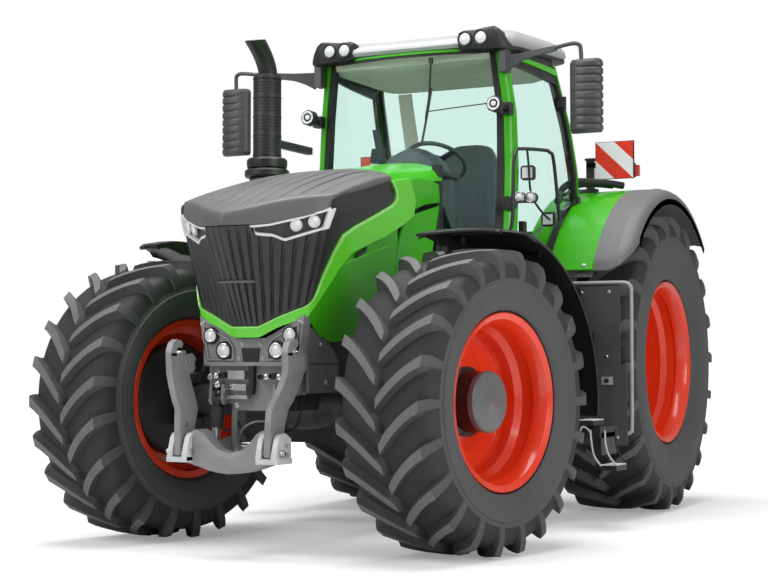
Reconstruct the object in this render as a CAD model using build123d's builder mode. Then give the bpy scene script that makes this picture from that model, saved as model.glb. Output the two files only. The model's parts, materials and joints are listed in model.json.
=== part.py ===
"""Large standard farm tractor with a front linkage, in millimetres.

Frame: +X is the tractor's left, -Y its front, +Z up. The ground is Z = 0 and the origin is under
the middle of the whole machine. Every size that stands by itself is a named value below, and each
piece that seats on another takes its place from the same values.
"""

import os
from math import cos, degrees, radians, sin

from build123d import *

os.makedirs("parts", exist_ok=True)

# ---- running gear -------------------------------------------------------------------------
wheelbase = 3300
front_axle_y = -2007
rear_axle_y = front_axle_y + wheelbase
cab_lead = 3300  # the cab's places count from this far ahead of the rear axle
cab_datum_y = rear_axle_y - cab_lead
rest_steer = -11  # degrees; the wheels stand turned a little to the tractor's right
fit_gap = 0.05  # radial clearance of a pin in its bore
seam = 6  # clearance between pieces that move past each other

front_tyre_radius = 890
front_tyre_width = 650
front_rim_radius = 508
front_wheel_x = 1090
kingpin_x = 860
front_disc_offset = -40  # rim disc from the wheel's middle, towards the tractor
front_hub_radius = 176
front_hub_reach = 190  # hub's end from the wheel's middle, outwards
front_axle_z = front_tyre_radius

rear_tyre_radius = 1125
rear_tyre_width = 730
rear_rim_radius = 602
rear_wheel_x = 996
rear_disc_offset = -60
rear_hub_radius = 190
rear_hub_reach = 60
rear_axle_z = rear_tyre_radius

lugs_per_side = 22
lug_height = 50
lug_flare = 14  # how far a lug's flank spreads at its foot
lug_slant = 1.35  # a lug's width round the tyre for each unit of its own width
rim_wall = 14
disc_wall = 22
flange_height = 34

# ---- chassis ------------------------------------------------------------------------------
rail_inner_x = 190
rail_outer_x = 275
rail_top_z = front_axle_z + 350
rail_bottom_z = front_axle_z - 90
frame_front_y = front_axle_y - 600
axle_arch_half = 330  # half the length of the rails' arch over the front axle
axle_arch_z = front_axle_z + 195
bell_y = cab_datum_y + 1200  # where the rails meet the transmission
drawn_rail_z = 1240  # the rails that the bonnet and what it covers are drawn over
bonnet_lift = rail_top_z - drawn_rail_z
engine_top_z = bonnet_lift + 1950
engine_front_y = front_axle_y - 130
cooler_half_width = 300
cooler_length = 260
cooler_front_y = front_axle_y - 440
cooler_top_z = bonnet_lift + 1900
gearbox_half_width = 260
gearbox_top_z = rear_axle_z + 205
gearbox_bottom_z = rear_axle_z - 485
gearbox_rear_y = rear_axle_y + 330
axle_tube_radius = 175
front_axle_tube_radius = 115
kingpin_radius = 38
kingpin_boss_radius = 78
kingpin_boss_height = 250
knuckle_ear_height = 46
spindle_radius = 105
hub_bore_radius = 60
hub_bore_depth = 85

# ---- front linkage ------------------------------------------------------------------------
bracket_depth = 110
lift_pivot_y = front_axle_y - 570
lift_pivot_z = front_axle_z - 250
lift_pin_radius = 30
arm_pin_y = front_axle_y - 925
arm_pin_z = front_axle_z - 280
arm_pin_x = 297
arm_thickness = 44
lift_eye_y = front_axle_y - 700
lift_eye_z = front_axle_z - 290
lift_top_y = front_axle_y - 655
lift_top_z = front_axle_z + 10
lift_cylinder_x = 215
lift_barrel_radius = 42
lift_rod_radius = 26
eye_gap = 6  # a rod's open eye round its pin

# ---- rear linkage -------------------------------------------------------------------------
link_pivot_y = rear_axle_y + 230
link_pivot_z = rear_axle_z - 365
link_reach = 1420
link_x = 400
rockshaft_z = rear_axle_z + 275
lift_arm_reach = 450  # also the distance from the lower link's pivot to its lift rod
lift_arm_x = 330
top_link_z = rear_axle_z + 55
top_link_length = 740

# ---- bonnet -------------------------------------------------------------------------------
bonnet_wall = 26
bonnet_hinge_y = cab_datum_y + 1110
bonnet_hinge_z = bonnet_lift + 2360
bonnet_hinge_x = 210
bonnet_foot_z = bonnet_lift + 1150
bonnet_head_z = bonnet_lift + 2550
bonnet_stretch = cab_datum_y - front_axle_y  # for its rear places, which follow the cab
corner_y = -610  # where the bonnet's front meets its sides, behind the front axle
bonnet_plan = (  # x, its change per mm of height, y behind the front axle, its change per mm
    (0, 0.000, -978, -0.452),
    (149, 0.105, -918, -0.373),
    (521, 0.260, corner_y, 0.000),
    (480, 0.090, 300, 0.000),
    (462, 0.050, bonnet_stretch + 1200, 0.000),
)
bonnet_plan_z = (1894, 1890, 2005, 1890, 1890)  # the heights that those places are given at
bonnet_top = (  # y behind the front axle, crown height, fall to the shoulder
    (-1010, 1932, 12),
    (-904, 2000, 20),
    (-527, 2149, 46),
    (31, 2302, 52),
    (bonnet_stretch + 650, 2394, 60),
    (bonnet_stretch + 1250, 2492, 70),
)
bonnet_shoulder_x = 500
bonnet_band_rise = 12  # how far the green band stands proud
lamp_rim = 13
lamp_recess = 20
lens_radius = 36
lens_drop = 4  # a lens stays this far behind the bonnet's face
grille_groove = 10
grille_grooves = (0.10, 0.21, 0.33, 0.44, 0.55, 0.66, 0.77, 0.88)  # shares of the front's half
cover_groove = 7
cover_grooves = (0, 0.19, 0.38, 0.57, 0.76)  # shares of the shoulder's distance out

# ---- cab ----------------------------------------------------------------------------------
cab_wall = 58
glass_thickness = 8
glass_inset = 22
cab_floor_z = 1540
cab_floor_thickness = 60
cab_waist_z = 2250
cab_eave_z = 3150
cab_stations = (  # height, half width, corner y, bulge of the front, rear y
    (cab_floor_z, 800, 1370, 45, 2700),
    (cab_waist_z, 840, 1345, 50, 2700),
    (cab_eave_z, 700, 1520, 50, 2760),
)
door_hinge_x = 880
door_hinge_y = cab_datum_y + 2625
door_frame_width = 70
door_hinge_heights = (cab_waist_z + 200, cab_eave_z - 190)
door_hinge_height = 50
door_hinge_pin = 9
door_hinge_eye = 20
door_outline = (  # y behind the cab's datum, z
    (1405, 1655),
    (1550, cab_eave_z - 75),
    (2600, cab_eave_z - 75),
    (2600, 2295),
    (2320, 2225),
    (2070, 2120),
    (2005, 2075),
    (1950, 1980),
    (1905, 1870),
    (1885, 1655),
)

# ---- fenders ------------------------------------------------------------------------------
rear_fender_y = rear_axle_y - 50
rear_fender_z = rear_axle_z + 25
rear_fender_gap = 145  # over the tyre
rear_fender_radius = rear_tyre_radius + rear_fender_gap
rear_fender_wall = 16
rear_fender_start = 29.3  # degrees above level, at the front edge
rear_fender_end = 135
rear_fender_inner_x = 600
fender_join_x = 1050  # where the plastic extension takes over
rear_fender_outer_x = 1385
lip_depth = 45
lip_wall = 14
front_fender_gap = 110  # over the tyre
front_fender_radius = front_tyre_radius + front_fender_gap
front_fender_wall = 12
front_fender_inner = 60  # from the kingpin, outwards
front_fender_width = 500
front_fender_lip = 28
front_fender_start = 108  # degrees round the wheel from its rear, at the fender's front tip
front_fender_end = 2
# the slanting front edge in plan: distance from the kingpin, distance behind the axle
front_fender_edge = (
    (front_fender_inner - 20, -235),
    (front_fender_inner + 250, -95),
    (front_fender_inner + 410, 50),
    (front_fender_inner + front_fender_width + 20, 215),
)

# ---- tanks and steps ----------------------------------------------------------------------
tank_front_y = cab_datum_y + 1230
tank_rear_y = cab_datum_y + 2085
tank_outer_x = 960


def save(piece, name):
    """Label a finished piece and write it as its own file."""
    piece.part.label = name
    export_step(piece.part, f"parts/{name}.step")


def slab(x0, x1, y0, y1, z0, z1, mode=Mode.ADD):
    """A block between two corners, in the current builder."""
    with Locations(((x0 + x1) / 2, (y0 + y1) / 2, (z0 + z1) / 2)):
        Box(abs(x1 - x0), abs(y1 - y0), abs(z1 - z0), mode=mode)


def prism(plane, points, depth, mode=Mode.ADD, grow=0):
    """An outline drawn on a plane, grown or shrunk all round, extruded along its normal."""
    with BuildSketch(plane) as outline:
        with BuildLine():
            Polyline(*points, close=True)
        make_face()
        if grow:
            offset(amount=grow, kind=Kind.INTERSECTION)
    extrude(outline.sketch, amount=depth, mode=mode)


def side_prism(points, x0, x1, mode=Mode.ADD, grow=0):
    """A side-view outline of (y, z) points, between x0 and x1."""
    prism(Plane.YZ.offset(min(x0, x1)), points, abs(x1 - x0), mode, grow)


def front_prism(points, y0, y1, mode=Mode.ADD, grow=0):
    """A front-view outline of (x, z) points, from y0 back to y1."""
    prism(Plane.XZ.offset(-y1), points, y1 - y0, mode, grow)


def plan_prism(points, z0, z1, mode=Mode.ADD, grow=0):
    """A plan-view outline of (x, y) points, from z0 up to z1."""
    prism(Plane.XY.offset(z0), points, z1 - z0, mode, grow)


def bar(radius, start, end, mode=Mode.ADD):
    """A round bar between two points, in the current builder."""
    line = Vector(*end) - Vector(*start)
    add(Solid.make_cylinder(radius, line.length, Plane(origin=start, z_dir=line)), mode=mode)


def tube_run(radius, bend, points):
    """A bent round tube along straight runs, in the current builder."""
    with BuildLine() as path:
        FilletPolyline(*points, radius=bend)
    with BuildSketch(Plane(origin=path.line @ 0, z_dir=path.line % 0)) as section:
        Circle(radius)
    sweep(section.sketch, path=path.line)


def both_sides(half):
    """A symmetrical outline from its half on the tractor's left, drawn from the middle out."""
    mirrored = [(-x, v) for x, v in reversed(half) if x > 0]
    return (*half, *mirrored)


def from_axle(points):
    """The bonnet's side-view points, (y behind the front axle, z over drawn rails), in the frame."""
    return [(front_axle_y + y, bonnet_lift + z) for y, z in points]


def from_cab(points):
    """Side-view points given behind the cab's datum, moved to the frame's Y."""
    return [(cab_datum_y + y, z) for y, z in points]


def lifted(points):
    """The bonnet's front-view points, (x, z over drawn rails), in the frame."""
    return [(x, bonnet_lift + z) for x, z in points]


def from_axle_plan(points):
    """The bonnet's plan points, (x, y behind the front axle), in the frame."""
    return [(x, front_axle_y + y) for x, y in points]


# ---- wheels -------------------------------------------------------------------------------
def rim_half(width):
    """Half the distance between a rim's flanges."""
    return 0.37 * width


def stitch(low, high):
    """Flat triangles between two closed rings, each a list of (angle, point) in turn."""
    faces = []
    i = 0
    j = 0
    while i < len(low) or j < len(high):
        here, there = low[i % len(low)][1], high[j % len(high)][1]
        next_low = low[(i + 1) % len(low)][0] + (360 if i + 1 >= len(low) else 0)
        next_high = high[(j + 1) % len(high)][0] + (360 if j + 1 >= len(high) else 0)
        if j == len(high) or (i < len(low) and next_low <= next_high):
            i += 1
            faces.append((here, low[i % len(low)][1], there))
        else:
            j += 1
            faces.append((here, high[j % len(high)][1], there))
    return faces


def tyre_ring(width, outer, rim_radius):
    """A lugged tyre about the X axis, as flat faces.

    Each side is a sheared grid that follows its lugs: at every station across the tread a lug has
    its feet and its top, and the next lug starts one pitch on. The other side is the mirror image,
    half a pitch round.
    """
    half = width / 2
    base = outer - lug_height
    wall = base - rim_radius
    pitch = 360 / lugs_per_side
    stations = (  # offset from the middle, foot radius, top radius, top width, sweep round the tyre
        (0.02 * half, base, outer, 42, 0),
        (0.42 * half, base - 3, outer, 47, 0.43 * half),
        (0.88 * half, base - 24, outer - 10, 60, 0.74 * half),
    )
    shoulder_offset = 0.97 * half
    shoulder_radius = base - 96
    flat = cos(radians(pitch / 2))  # a ring of one flat a lug touches its round rim at this share
    bead_offset = rim_half(width) - rim_wall
    flank = (
        (1.00 * half, rim_radius + 0.50 * wall),
        (bead_offset, (rim_radius + 3) / flat),
        (bead_offset - 1, (rim_radius - flange_height) / flat),
    )
    faces = []
    noses = []
    bores = []
    for side in (1, -1):

        def at(offset, radius, angle):
            turn = radians(angle)
            return (side * offset, -radius * cos(turn), radius * sin(turn))

        nose_ring = []
        shoulder_ring = []
        lead = 0 if side > 0 else pitch / 2
        for k in range(lugs_per_side):
            rows = []
            for offset, foot, top, wide, sweep in stations:
                middle = lead + pitch * k + degrees(sweep / outer)
                spread = degrees(wide / 2 * lug_slant / outer)
                flare = spread + degrees(lug_flare * lug_slant / outer)
                rows.append(
                    (
                        at(offset, foot, middle - flare),
                        at(offset, top, middle - spread),
                        at(offset, top, middle + spread),
                        at(offset, foot, middle + flare),
                        at(offset, foot, middle + pitch - flare),
                    )
                )
            near = middle - flare
            far = middle + flare
            ends = [
                at(shoulder_offset, shoulder_radius, angle)
                for angle in (near, near, far, far, near + pitch)
            ]
            for low, high in zip(rows, rows[1:]):
                for i in range(4):
                    faces.append((low[i], high[i], high[i + 1]))
                    faces.append((low[i], high[i + 1], low[i + 1]))
            foot, top_low, top_high, far_foot, ahead = rows[-1]
            faces.append((foot, ends[0], top_low))
            faces.append((top_low, ends[0], ends[2]))
            faces.append((top_low, ends[2], top_high))
            faces.append((top_high, ends[2], far_foot))
            faces.append((far_foot, ends[2], ends[4]))
            faces.append((far_foot, ends[4], ahead))
            foot, top_low, top_high, far_foot, ahead = rows[0]
            faces.append((foot, top_low, top_high))
            faces.append((foot, top_high, far_foot))
            first_flare = degrees((stations[0][3] / 2 + lug_flare) * lug_slant / outer)
            nose_ring.append((lead + pitch * k - first_flare, foot))
            nose_ring.append((lead + pitch * k + first_flare, far_foot))
            shoulder_ring.append((near, ends[0]))
            shoulder_ring.append((far, ends[2]))
        rings = [shoulder_ring]
        start = shoulder_ring[0][0] + (shoulder_ring[1][0] - shoulder_ring[0][0]) / 2
        for offset, radius in flank:
            rings.append(
                [(start + pitch * k, at(offset, radius, start + pitch * k))
                for k in range(lugs_per_side)]
            )
        for low, high in zip(rings, rings[1:]):
            faces += stitch(low, high)
        noses.append(nose_ring)
        bores.append([(angle - start + lead, point) for angle, point in rings[-1]])
    faces += stitch(*noses)
    faces += stitch(*bores)
    shell = Shell([Face(Wire.make_polygon(corners, close=True)) for corners in faces])
    with BuildPart() as ring:
        add(Solid(shell))
    return ring


def rim_ring(width, radius, disc_offset, hub_radius, hub_reach):
    """A dished rim about the X axis: barrel with flanges and a drop, its disc, and the hub."""
    half = rim_half(width)
    barrel = radius - flange_height
    drop = barrel - 40
    wall = rim_wall
    outline = (
        (-half - 8, radius),
        (-half + wall, radius),
        (-half + wall, barrel),
        (-half + 70, barrel),
        (-half + 90, drop),
        (half - 190, drop),
        (half - 150, barrel),
        (half - wall, barrel),
        (half - wall, radius),
        (half + 8, radius),
        (half + 8, radius - 12),
        (half, barrel - wall),
        (half - 145, barrel - wall),
        (half - 185, drop - wall),
        (-half + 85, drop - wall),
        (-half + 65, barrel - wall),
        (-half, barrel - wall),
        (-half - 8, radius - 12),
    )
    disc = (
        (disc_offset, hub_bore_radius),
        (disc_offset, hub_radius + 40),
        (disc_offset - 30, drop - wall + 1),
        (disc_offset - 30 + disc_wall, drop - wall + 1),
        (disc_offset + disc_wall, hub_radius + 46),
        (disc_offset + disc_wall, hub_radius),
        (hub_reach - 16, hub_radius),
        (hub_reach, hub_radius - 16),
        (hub_reach, 0),
        (disc_offset + hub_bore_depth, 0),
        (disc_offset + hub_bore_depth, hub_bore_radius),
    )
    with BuildPart() as rim:
        with BuildSketch(Plane.XZ):
            for ring in (outline, disc):
                with BuildLine():
                    Polyline(*ring, close=True)
                make_face()
        revolve(axis=Axis.X)
    return rim


def place(piece, side, where, turn, name):
    """Write a piece modelled for the left; side -1 mirrors it for the tractor's right."""
    with BuildPart() as placed:
        shape = piece.part if side > 0 else piece.part.mirror(Plane.YZ)
        add(Location(where, (0, 0, turn)) * shape)
    save(placed, name)


def steered(offset, side):
    """Plan position of a point that lies offset outwards from the kingpin, at the rest steering."""
    turn = radians(rest_steer)
    return (side * (kingpin_x + offset * cos(turn)), front_axle_y + side * offset * sin(turn))


front_wheel_offset = front_wheel_x - kingpin_x
front_tyre = tyre_ring(front_tyre_width, front_tyre_radius, front_rim_radius)
front_rim = rim_ring(
    front_tyre_width,
    front_rim_radius,
    front_disc_offset,
    front_hub_radius,
    front_hub_reach,
)
rear_tyre = tyre_ring(rear_tyre_width, rear_tyre_radius, rear_rim_radius)
rear_rim = rim_ring(rear_tyre_width, rear_rim_radius, rear_disc_offset, rear_hub_radius, rear_hub_reach)

# ---- front axle, knuckles and fenders -----------------------------------------------------
boss_half = kingpin_boss_height / 2
ear_low = boss_half + seam
ear_high = ear_low + knuckle_ear_height
boss_clear = kingpin_boss_radius + seam
disc_face = front_wheel_offset + front_disc_offset

with BuildPart() as front_axle:
    with BuildSketch(Plane.XZ.offset(-front_axle_y)):
        with BuildLine():
            Polyline(
                (0, front_axle_z),
                (0, front_axle_z + 185),
                (130, front_axle_z + 170),
                (230, front_axle_z + front_axle_tube_radius),
                (kingpin_x - 40, front_axle_z + front_axle_tube_radius * 0.8),
                (kingpin_x - 40, front_axle_z),
                close=True,
            )
        make_face()
    revolve(axis=Axis((0, front_axle_y, front_axle_z), (1, 0, 0)))
    mirror(about=Plane.YZ)
    for side in (1, -1):
        bar(
            kingpin_boss_radius,
            (side * kingpin_x, front_axle_y, front_axle_z - boss_half),
            (side * kingpin_x, front_axle_y, front_axle_z + boss_half),
        )
        bar(
            kingpin_radius,
            (side * kingpin_x, front_axle_y, front_axle_z - boss_half),
            (side * kingpin_x, front_axle_y, front_axle_z + boss_half),
            mode=Mode.SUBTRACT,
        )
    slab(-120, 120, front_axle_y - 90, front_axle_y + 90, front_axle_z + 120, axle_arch_z + 60)
save(front_axle, "front_axle")

with BuildPart() as knuckle:
    bar(kingpin_radius - fit_gap, (0, 0, -ear_high), (0, 0, ear_high))
    slab(-75, boss_clear + 46, -72, 72, ear_low, ear_high)
    slab(-75, boss_clear + 46, -72, 72, -ear_high, -ear_low)
    slab(boss_clear, boss_clear + 46, -100, 100, -ear_high, ear_high)
    bar(spindle_radius, (boss_clear + 46, 0, 0), (disc_face - seam, 0, 0))
    bar(hub_bore_radius - fit_gap, (boss_clear + 46, 0, 0), (disc_face + hub_bore_depth - 20, 0, 0))
    slab(-150, -75, -45, 45, ear_low, ear_high)
    slab(-150, -115, -45, 45, ear_high, front_fender_radius - 60)
    slab(-150, front_fender_inner, -45, 45, front_fender_radius - 60, front_fender_radius - 26)

with BuildPart() as front_fender:
    sweep_angle = front_fender_start - front_fender_end
    outer = front_fender_radius + front_fender_wall
    with BuildSketch(Plane.YZ.offset(front_fender_inner)):
        with BuildLine():
            arc = CenterArc((0, 0), front_fender_radius, front_fender_end, sweep_angle)
            rim_arc = CenterArc((0, 0), outer, front_fender_end, sweep_angle)
            Line(arc @ 0, rim_arc @ 0)
            Line(arc @ 1, rim_arc @ 1)
        make_face()
    extrude(amount=front_fender_width)
    for x in (front_fender_inner, front_fender_inner + front_fender_width - front_fender_wall):
        with BuildSketch(Plane.YZ.offset(x)) as lip:
            with BuildLine():
                lip_radius = front_fender_radius - front_fender_lip
                edge = CenterArc((0, 0), front_fender_radius + 1, front_fender_end, sweep_angle)
                drop = CenterArc((0, 0), lip_radius, front_fender_end, sweep_angle)
                Line(edge @ 0, drop @ 0)
                Line(edge @ 1, drop @ 1)
            make_face()
        extrude(lip.sketch, amount=front_fender_wall)
    with BuildSketch() as ahead_of_edge:
        with BuildLine():
            Spline(*front_fender_edge)
            Polyline(
                front_fender_edge[-1],
                (front_fender_edge[-1][0], -outer),
                (front_fender_edge[0][0], -outer),
                front_fender_edge[0],
            )
        make_face()
    extrude(ahead_of_edge.sketch, amount=2 * outer, mode=Mode.SUBTRACT)
    slab(
        front_fender_inner,
        front_fender_inner + 300,
        -45,
        45,
        front_fender_radius - 60,
        front_fender_radius + 4,
    )

for side, hand in ((1, "left"), (-1, "right")):
    wheel_x, wheel_y = steered(front_wheel_offset, side)
    king = (side * kingpin_x, front_axle_y, front_axle_z)
    place(front_tyre, side, (wheel_x, wheel_y, front_axle_z), rest_steer, f"tyre_front_{hand}")
    place(front_rim, side, (wheel_x, wheel_y, front_axle_z), rest_steer, f"rim_front_{hand}")
    place(rear_tyre, side, (side * rear_wheel_x, rear_axle_y, rear_axle_z), 0, f"tyre_rear_{hand}")
    place(rear_rim, side, (side * rear_wheel_x, rear_axle_y, rear_axle_z), 0, f"rim_rear_{hand}")
    place(knuckle, side, king, rest_steer, f"knuckle_{hand}")
    place(front_fender, side, king, rest_steer, f"front_fender_{hand}")

# ---- rear axle, gearbox, frame and engine -------------------------------------------------
rear_disc_face = rear_wheel_x + rear_disc_offset

with BuildPart() as rear_axle:
    with BuildSketch(Plane.XZ.offset(-rear_axle_y)):
        with BuildLine():
            Polyline(
                (gearbox_half_width, rear_axle_z),
                (gearbox_half_width, rear_axle_z + 1.35 * axle_tube_radius),
                (gearbox_half_width + 60, rear_axle_z + 1.2 * axle_tube_radius),
                (gearbox_half_width + 140, rear_axle_z + 0.85 * axle_tube_radius),
                (rear_disc_face - 60, rear_axle_z + 0.8 * axle_tube_radius),
                (rear_disc_face - 40, rear_axle_z + axle_tube_radius),
                (rear_disc_face - seam, rear_axle_z + axle_tube_radius),
                (rear_disc_face - seam, rear_axle_z + hub_bore_radius - fit_gap),
                (rear_disc_face + hub_bore_depth - 20, rear_axle_z + hub_bore_radius - fit_gap),
                (rear_disc_face + hub_bore_depth - 20, rear_axle_z),
                close=True,
            )
        make_face()
    revolve(axis=Axis((0, rear_axle_y, rear_axle_z), (1, 0, 0)))
    mirror(about=Plane.YZ)
save(rear_axle, "rear_axle")

with BuildPart() as gearbox:
    side_prism(
        (
            (bell_y, rail_bottom_z - 20),
            (bell_y + 260, gearbox_bottom_z + 60),
            (rear_axle_y - 420, gearbox_bottom_z),
            (gearbox_rear_y, gearbox_bottom_z),
            (gearbox_rear_y, gearbox_top_z - 120),
            (gearbox_rear_y - 120, gearbox_top_z),
            (bell_y + 120, gearbox_top_z),
            (bell_y, rail_top_z),
        ),
        -gearbox_half_width,
        gearbox_half_width,
    )
    slab(-120, 120, gearbox_rear_y, gearbox_rear_y + 90, gearbox_bottom_z + 60, gearbox_top_z - 260)
    bar(24, (0, gearbox_rear_y + 90, 820), (0, gearbox_rear_y + 190, 820))
save(gearbox, "gearbox")

with BuildPart() as frame_rails:
    for side in (1, -1):
        side_prism(
            (
                (frame_front_y, rail_bottom_z + 40),
                (front_axle_y - axle_arch_half, rail_bottom_z + 40),
                (front_axle_y - axle_arch_half + 80, axle_arch_z),
                (front_axle_y + axle_arch_half - 60, axle_arch_z),
                (front_axle_y + axle_arch_half + 60, rail_bottom_z),
                (bell_y, rail_bottom_z),
                (bell_y, rail_top_z),
                (frame_front_y, rail_top_z),
            ),
            side * rail_inner_x,
            side * rail_outer_x,
        )
    slab(-rail_inner_x, rail_inner_x, frame_front_y, frame_front_y + 90, rail_bottom_z + 40, rail_top_z)
    slab(
        -rail_inner_x,
        rail_inner_x,
        front_axle_y - 90,
        front_axle_y + 90,
        axle_arch_z + 60,
        rail_top_z - 50,
    )
save(frame_rails, "frame_rails")

with BuildPart() as engine:
    side_prism(
        (
            (engine_front_y, rail_top_z - 50),
            (front_axle_y + 90, rail_top_z - 50),
            (front_axle_y + axle_arch_half + 60, rail_bottom_z + 100),
            (bell_y, rail_bottom_z + 100),
            (bell_y, engine_top_z - 250),
            (bell_y - 160, engine_top_z),
            (engine_front_y + 60, engine_top_z),
            (engine_front_y, engine_top_z - 120),
        ),
        -rail_inner_x,
        rail_inner_x,
    )
save(engine, "engine")

with BuildPart() as cooling_pack:
    slab(
        -cooler_half_width,
        cooler_half_width,
        cooler_front_y,
        cooler_front_y + cooler_length,
        rail_top_z,
        cooler_top_z,
    )
save(cooling_pack, "cooling_pack")

with BuildPart() as bulkhead:
    slab(-380, 380, bell_y, bell_y + 16, gearbox_top_z + 15, bonnet_hinge_z - 30)
    for side in (1, -1):
        side_prism(
            (
                (bell_y + 16, bonnet_hinge_z - 260),
                (bell_y + 16, bonnet_hinge_z - 60),
                (bonnet_hinge_y + 22, bonnet_hinge_z + 22),
                (bonnet_hinge_y - 22, bonnet_hinge_z + 22),
                (bonnet_hinge_y - 22, bonnet_hinge_z - 40),
            ),
            side * (bonnet_hinge_x - 40),
            side * (bonnet_hinge_x - 10),
        )
        bar(
            12,
            (side * (bonnet_hinge_x - 20), bonnet_hinge_y, bonnet_hinge_z),
            (side * (bonnet_hinge_x + 30), bonnet_hinge_y, bonnet_hinge_z),
        )
save(bulkhead, "bulkhead")

# ---- tanks, steps -------------------------------------------------------------------------
with BuildPart() as fuel_tank:
    front_prism(
        (
            (gearbox_half_width, 640),
            (420, 520),
            (tank_outer_x - 60, 520),
            (tank_outer_x, 600),
            (tank_outer_x, 1400),
            (tank_outer_x - 60, 1480),
            (gearbox_half_width, 1330),
        ),
        tank_front_y,
        tank_rear_y,
    )
save(fuel_tank, "fuel_tank")

with BuildPart() as tool_box:
    front_prism(
        (
            (-gearbox_half_width, 640),
            (-420, 560),
            (-(tank_outer_x - 60), 560),
            (-tank_outer_x, 640),
            (-tank_outer_x, 1320),
            (-(tank_outer_x - 60), 1400),
            (-gearbox_half_width, 1330),
        ),
        tank_front_y,
        tank_rear_y - 250,
    )
save(tool_box, "tool_box")

treads = ((1190, 1480, 420), (1110, 1370, 735), (1040, 1290, 1050), (tank_outer_x, 1220, 1365))
step_front_y = cab_datum_y + 1560
step_rear_y = cab_datum_y + 1980
with BuildPart() as access_steps:
    for x0, x1, z in treads:
        slab(x0, x1, step_front_y, step_rear_y, z - 34, z)
    for y in (step_front_y, step_rear_y - 12):
        front_prism(
            (
                (tank_outer_x, 1400),
                (1090, 1365),
                (1130, 1050),
                (1200, 735),
                (1290, 386),
                (1190, 386),
                (1110, 700),
                (1040, 1015),
                (tank_outer_x, 1290),
            ),
            y,
            y + 12,
        )
save(access_steps, "access_steps")

with BuildPart() as step_guard:
    slab(700, 1385, tank_rear_y, tank_rear_y + 12, 545, cab_floor_z - 20)
    slab(850, 1385, tank_rear_y, tank_rear_y + 12, cab_floor_z - 20, 1700)
    tube_run(
        17,
        90,
        (
            (1000, tank_rear_y + 30, 1716),
            (1412, tank_rear_y + 30, 1716),
            (1412, tank_rear_y + 30, 520),
        ),
    )
    for z in (800, 1200, 1600):
        slab(1385, 1412, tank_rear_y, tank_rear_y + 30, z - 15, z + 15)
save(step_guard, "step_guard")

# ---- front bracket and linkage ------------------------------------------------------------
bracket_rear = frame_front_y
bracket_front = bracket_rear - bracket_depth
bracket_z = front_axle_z
lift_lug_x = 150
with BuildPart() as front_bracket:
    front_prism(
        both_sides((
            (100, bracket_z + 345),
            (325, bracket_z + 440),
            (325, bracket_z + 260),
            (300, bracket_z + 110),
            (155, bracket_z + 95),
            (155, bracket_z - 50),
        )),
        bracket_front,
        bracket_rear,
    )
    slab(-165, 165, bracket_front - 90, bracket_front, bracket_z - 40, bracket_z + 190)
    for side in (1, -1):
        # lugs that hold the lift frame's pivot
        side_prism(
            (
                (bracket_rear, bracket_z + 10),
                (bracket_front, bracket_z + 10),
                (lift_pivot_y - 60, lift_pivot_z),
                (lift_pivot_y - 30, lift_pivot_z - 52),
                (lift_pivot_y + 30, lift_pivot_z - 52),
                (lift_pivot_y + 60, lift_pivot_z),
                (bracket_rear + 60, bracket_z - 50),
                (bracket_rear, bracket_z - 50),
            ),
            side * (lift_lug_x - 40),
            side * lift_lug_x,
        )
        # ears over the lift cylinders
        for x in (lift_cylinder_x - 52, lift_cylinder_x + 30):
            side_prism(
                (
                    (bracket_rear, bracket_z + 100),
                    (bracket_front, bracket_z + 100),
                    (lift_top_y - 34, lift_top_z - 8),
                    (lift_top_y - 12, lift_top_z - 34),
                    (lift_top_y + 12, lift_top_z - 34),
                    (lift_top_y + 34, lift_top_z - 8),
                ),
                side * x,
                side * (x + 22),
            )
        bar(
            18,
            (side * (lift_cylinder_x - 52), lift_top_y, lift_top_z),
            (side * (lift_cylinder_x + 52), lift_top_y, lift_top_z),
        )
    bar(
        lift_pin_radius,
        (-lift_lug_x - 60, lift_pivot_y, lift_pivot_z),
        (lift_lug_x + 60, lift_pivot_y, lift_pivot_z),
    )
save(front_bracket, "front_bracket")

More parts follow.
